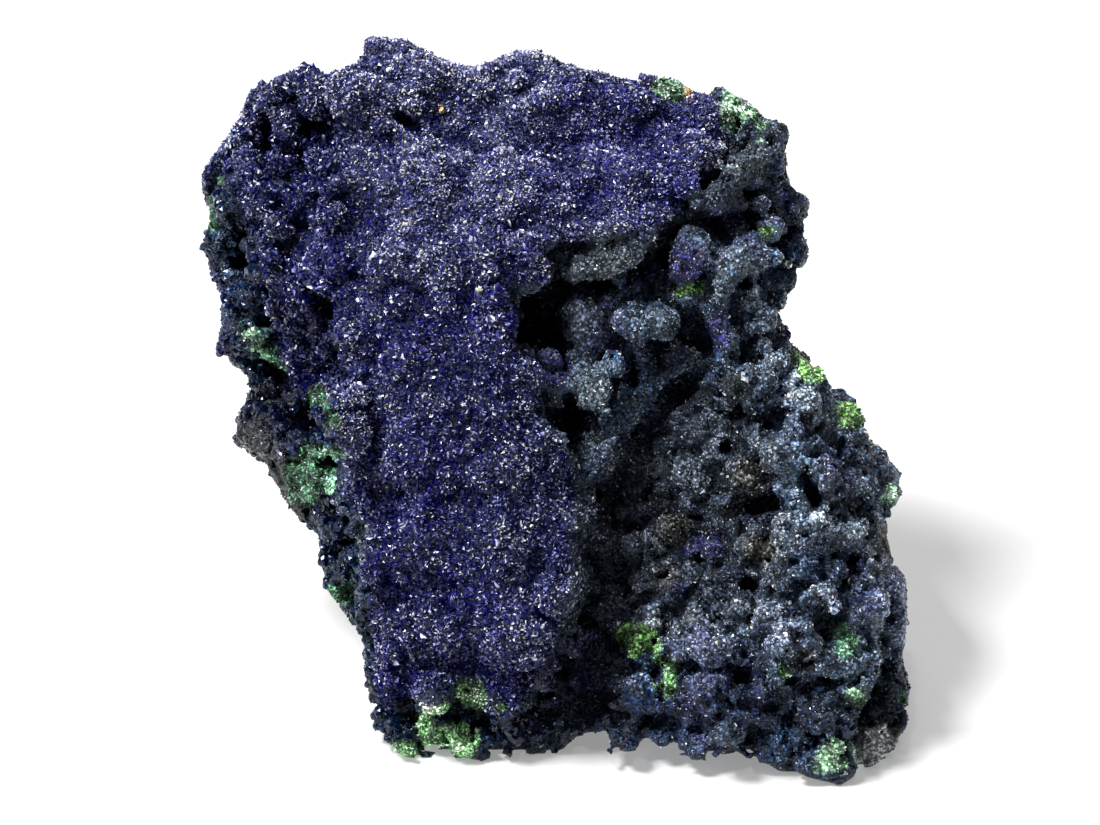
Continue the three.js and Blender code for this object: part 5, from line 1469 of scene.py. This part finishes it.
# A few grains on each bead.
g_v = r.integers(0, len(bm_v), (kb, 6))
bead_i = np.repeat(np.arange(kb), 6)
gp = bv[bead_i, g_v.ravel()]
gn = (bm_v @ q)[g_v.ravel()]
up = (gn * Nn[bead_i]).sum(1) > -0.1
gp, gn, gc, gf = gp[up], gn[up], C[bead_i][up], F[bead_i][up] * 1.25
gs = np.clip(r.lognormal(math.log(0.22), 0.22, len(gp)), 0.14, 0.36)
make_piece("bead_grains", parts_of(height(*gp.T) > 0.4, gp, 48000), spikes, gp, gn, gs, np.full(len(gp), 0.35), np.full(len(gp), math.radians(40)), gc, gf,
           0.6, np.full(len(gp), 0.02), GRAIN, 600)
# Single small grains of another colour on the druse.
gv, gf_, gt = [], [], []
for u, v, rr, shade in STRAY_GRAINS:
    d = np.hypot(verts[:, 0] - u, verts[:, 1] - v)
    near_ = np.flatnonzero(d < 0.45)
    at_ = verts[near_[verts[near_, 2].argmax()]]
    for _ in range(5):
        c0 = at_ + r.normal(0, 0.35, 3) * rr
        rad_ = rr * r.uniform(0.45, 0.7)
        q, _r = np.linalg.qr(r.standard_normal((3, 3)))
        shape = c0 + (bm_v @ q) * (rad_ * (1 + 0.16 * r.standard_normal((len(bm_v), 1)))) * r.uniform(0.7, 1.1, 3)
        gf_.append(bm_f + len(bm_v) * len(gv))
        gv.append(shape)
        gt.append(to_light(level(np.repeat(COL[shade][None], bm_f.size, 0), np.repeat(r.uniform(0.45, 1.6, len(bm_f)), 3))))
stray = new_mesh("stray_grains", world(np.concatenate(gv)), np.concatenate(gf_), np.concatenate(gt), GREEN)
groups.append(("stray_grains", sum(len(f) for f in gf_)))
print("crystals", groups, "total", sum(g[1] for g in groups) + len(tris))

# ---------------------------------------------------------------- floor and light
floor_mesh = bpy.data.meshes.new("floor")
R = 3.0
floor_mesh.from_pydata([(-R, -R, 0), (R, -R, 0), (R, R, 0), (-R, R, 0)], [], [(0, 1, 2, 3)])
floor = bpy.data.objects.new("floor", floor_mesh)
bpy.context.scene.collection.objects.link(floor)
fm = bpy.data.materials.new("floor")
fm.use_nodes = True
fb = fm.node_tree.nodes["Principled BSDF"]
fb.inputs["Base Color"].default_value = (0.56, 0.56, 0.556, 1)
fb.inputs["Roughness"].default_value = 0.6
fb.inputs["Specular IOR Level"].default_value = 0.2
fb.inputs["Emission Color"].default_value = (1, 1, 1, 1)
fb.inputs["Emission Strength"].default_value = 0.28
floor_mesh.materials.append(fm)


def area(name, at, look, size, power, shape="RECTANGLE", size_y=None, col=(1, 1, 1)):
    l = bpy.data.lights.new(name, "AREA")
    l.shape = shape
    l.size = size
    if size_y:
        l.size_y = size_y
    l.energy = power
    l.color = col
    o = bpy.data.objects.new(name, l)
    bpy.context.scene.collection.objects.link(o)
    o.location = at
    o.rotation_euler = (Vector(look) - Vector(at)).to_track_quat("-Z", "Y").to_euler()
    return o


# power for a wanted radiance: L * pi * area
def soft(name, at, look, sx, sy, radiance):
    return area(name, at, look, sx, radiance * math.pi * sx * sy, size_y=sy)


soft("key", (-0.95, -0.22, 1.92), (0, 0, 0.02), 0.60, 0.55, 68.0)
soft("left_soft", (-1.5, -0.35, 0.75), (0, 0, 0.03), 0.8, 0.8, 4.5)
soft("overhead", (0.10, 1.10, 1.95), (0, 0, 0.02), 1.30, 1.10, 3.4)
soft("spark_a", (0.45, -0.75, 2.1), (0, 0, 0.03), 0.10, 0.10, 170.0)
soft("spark_b", (-0.15, 0.35, 2.0), (0, 0, 0.03), 0.10, 0.10, 140.0)

world_ = bpy.data.worlds.new("world")
bpy.context.scene.world = world_
world_.use_nodes = True
bg = world_.node_tree.nodes["Background"]
bg.inputs["Color"].default_value = (1, 1, 1, 1)
bg.inputs["Strength"].default_value = 0.05
# seen directly, past the floor's end, the surroundings are as pale as the far floor
wt = world_.node_tree
seen = wt.nodes.new("ShaderNodeLightPath")
pale_ = wt.nodes.new("ShaderNodeMath")
pale_.operation = "MULTIPLY_ADD"
pale_.inputs[1].default_value = 0.45
pale_.inputs[2].default_value = 0.05
wt.links.new(seen.outputs["Is Camera Ray"], pale_.inputs[0])
wt.links.new(pale_.outputs[0], bg.inputs["Strength"])
bpy.context.scene.view_settings.view_transform = "Standard"
bpy.context.scene.view_settings.look = "None"
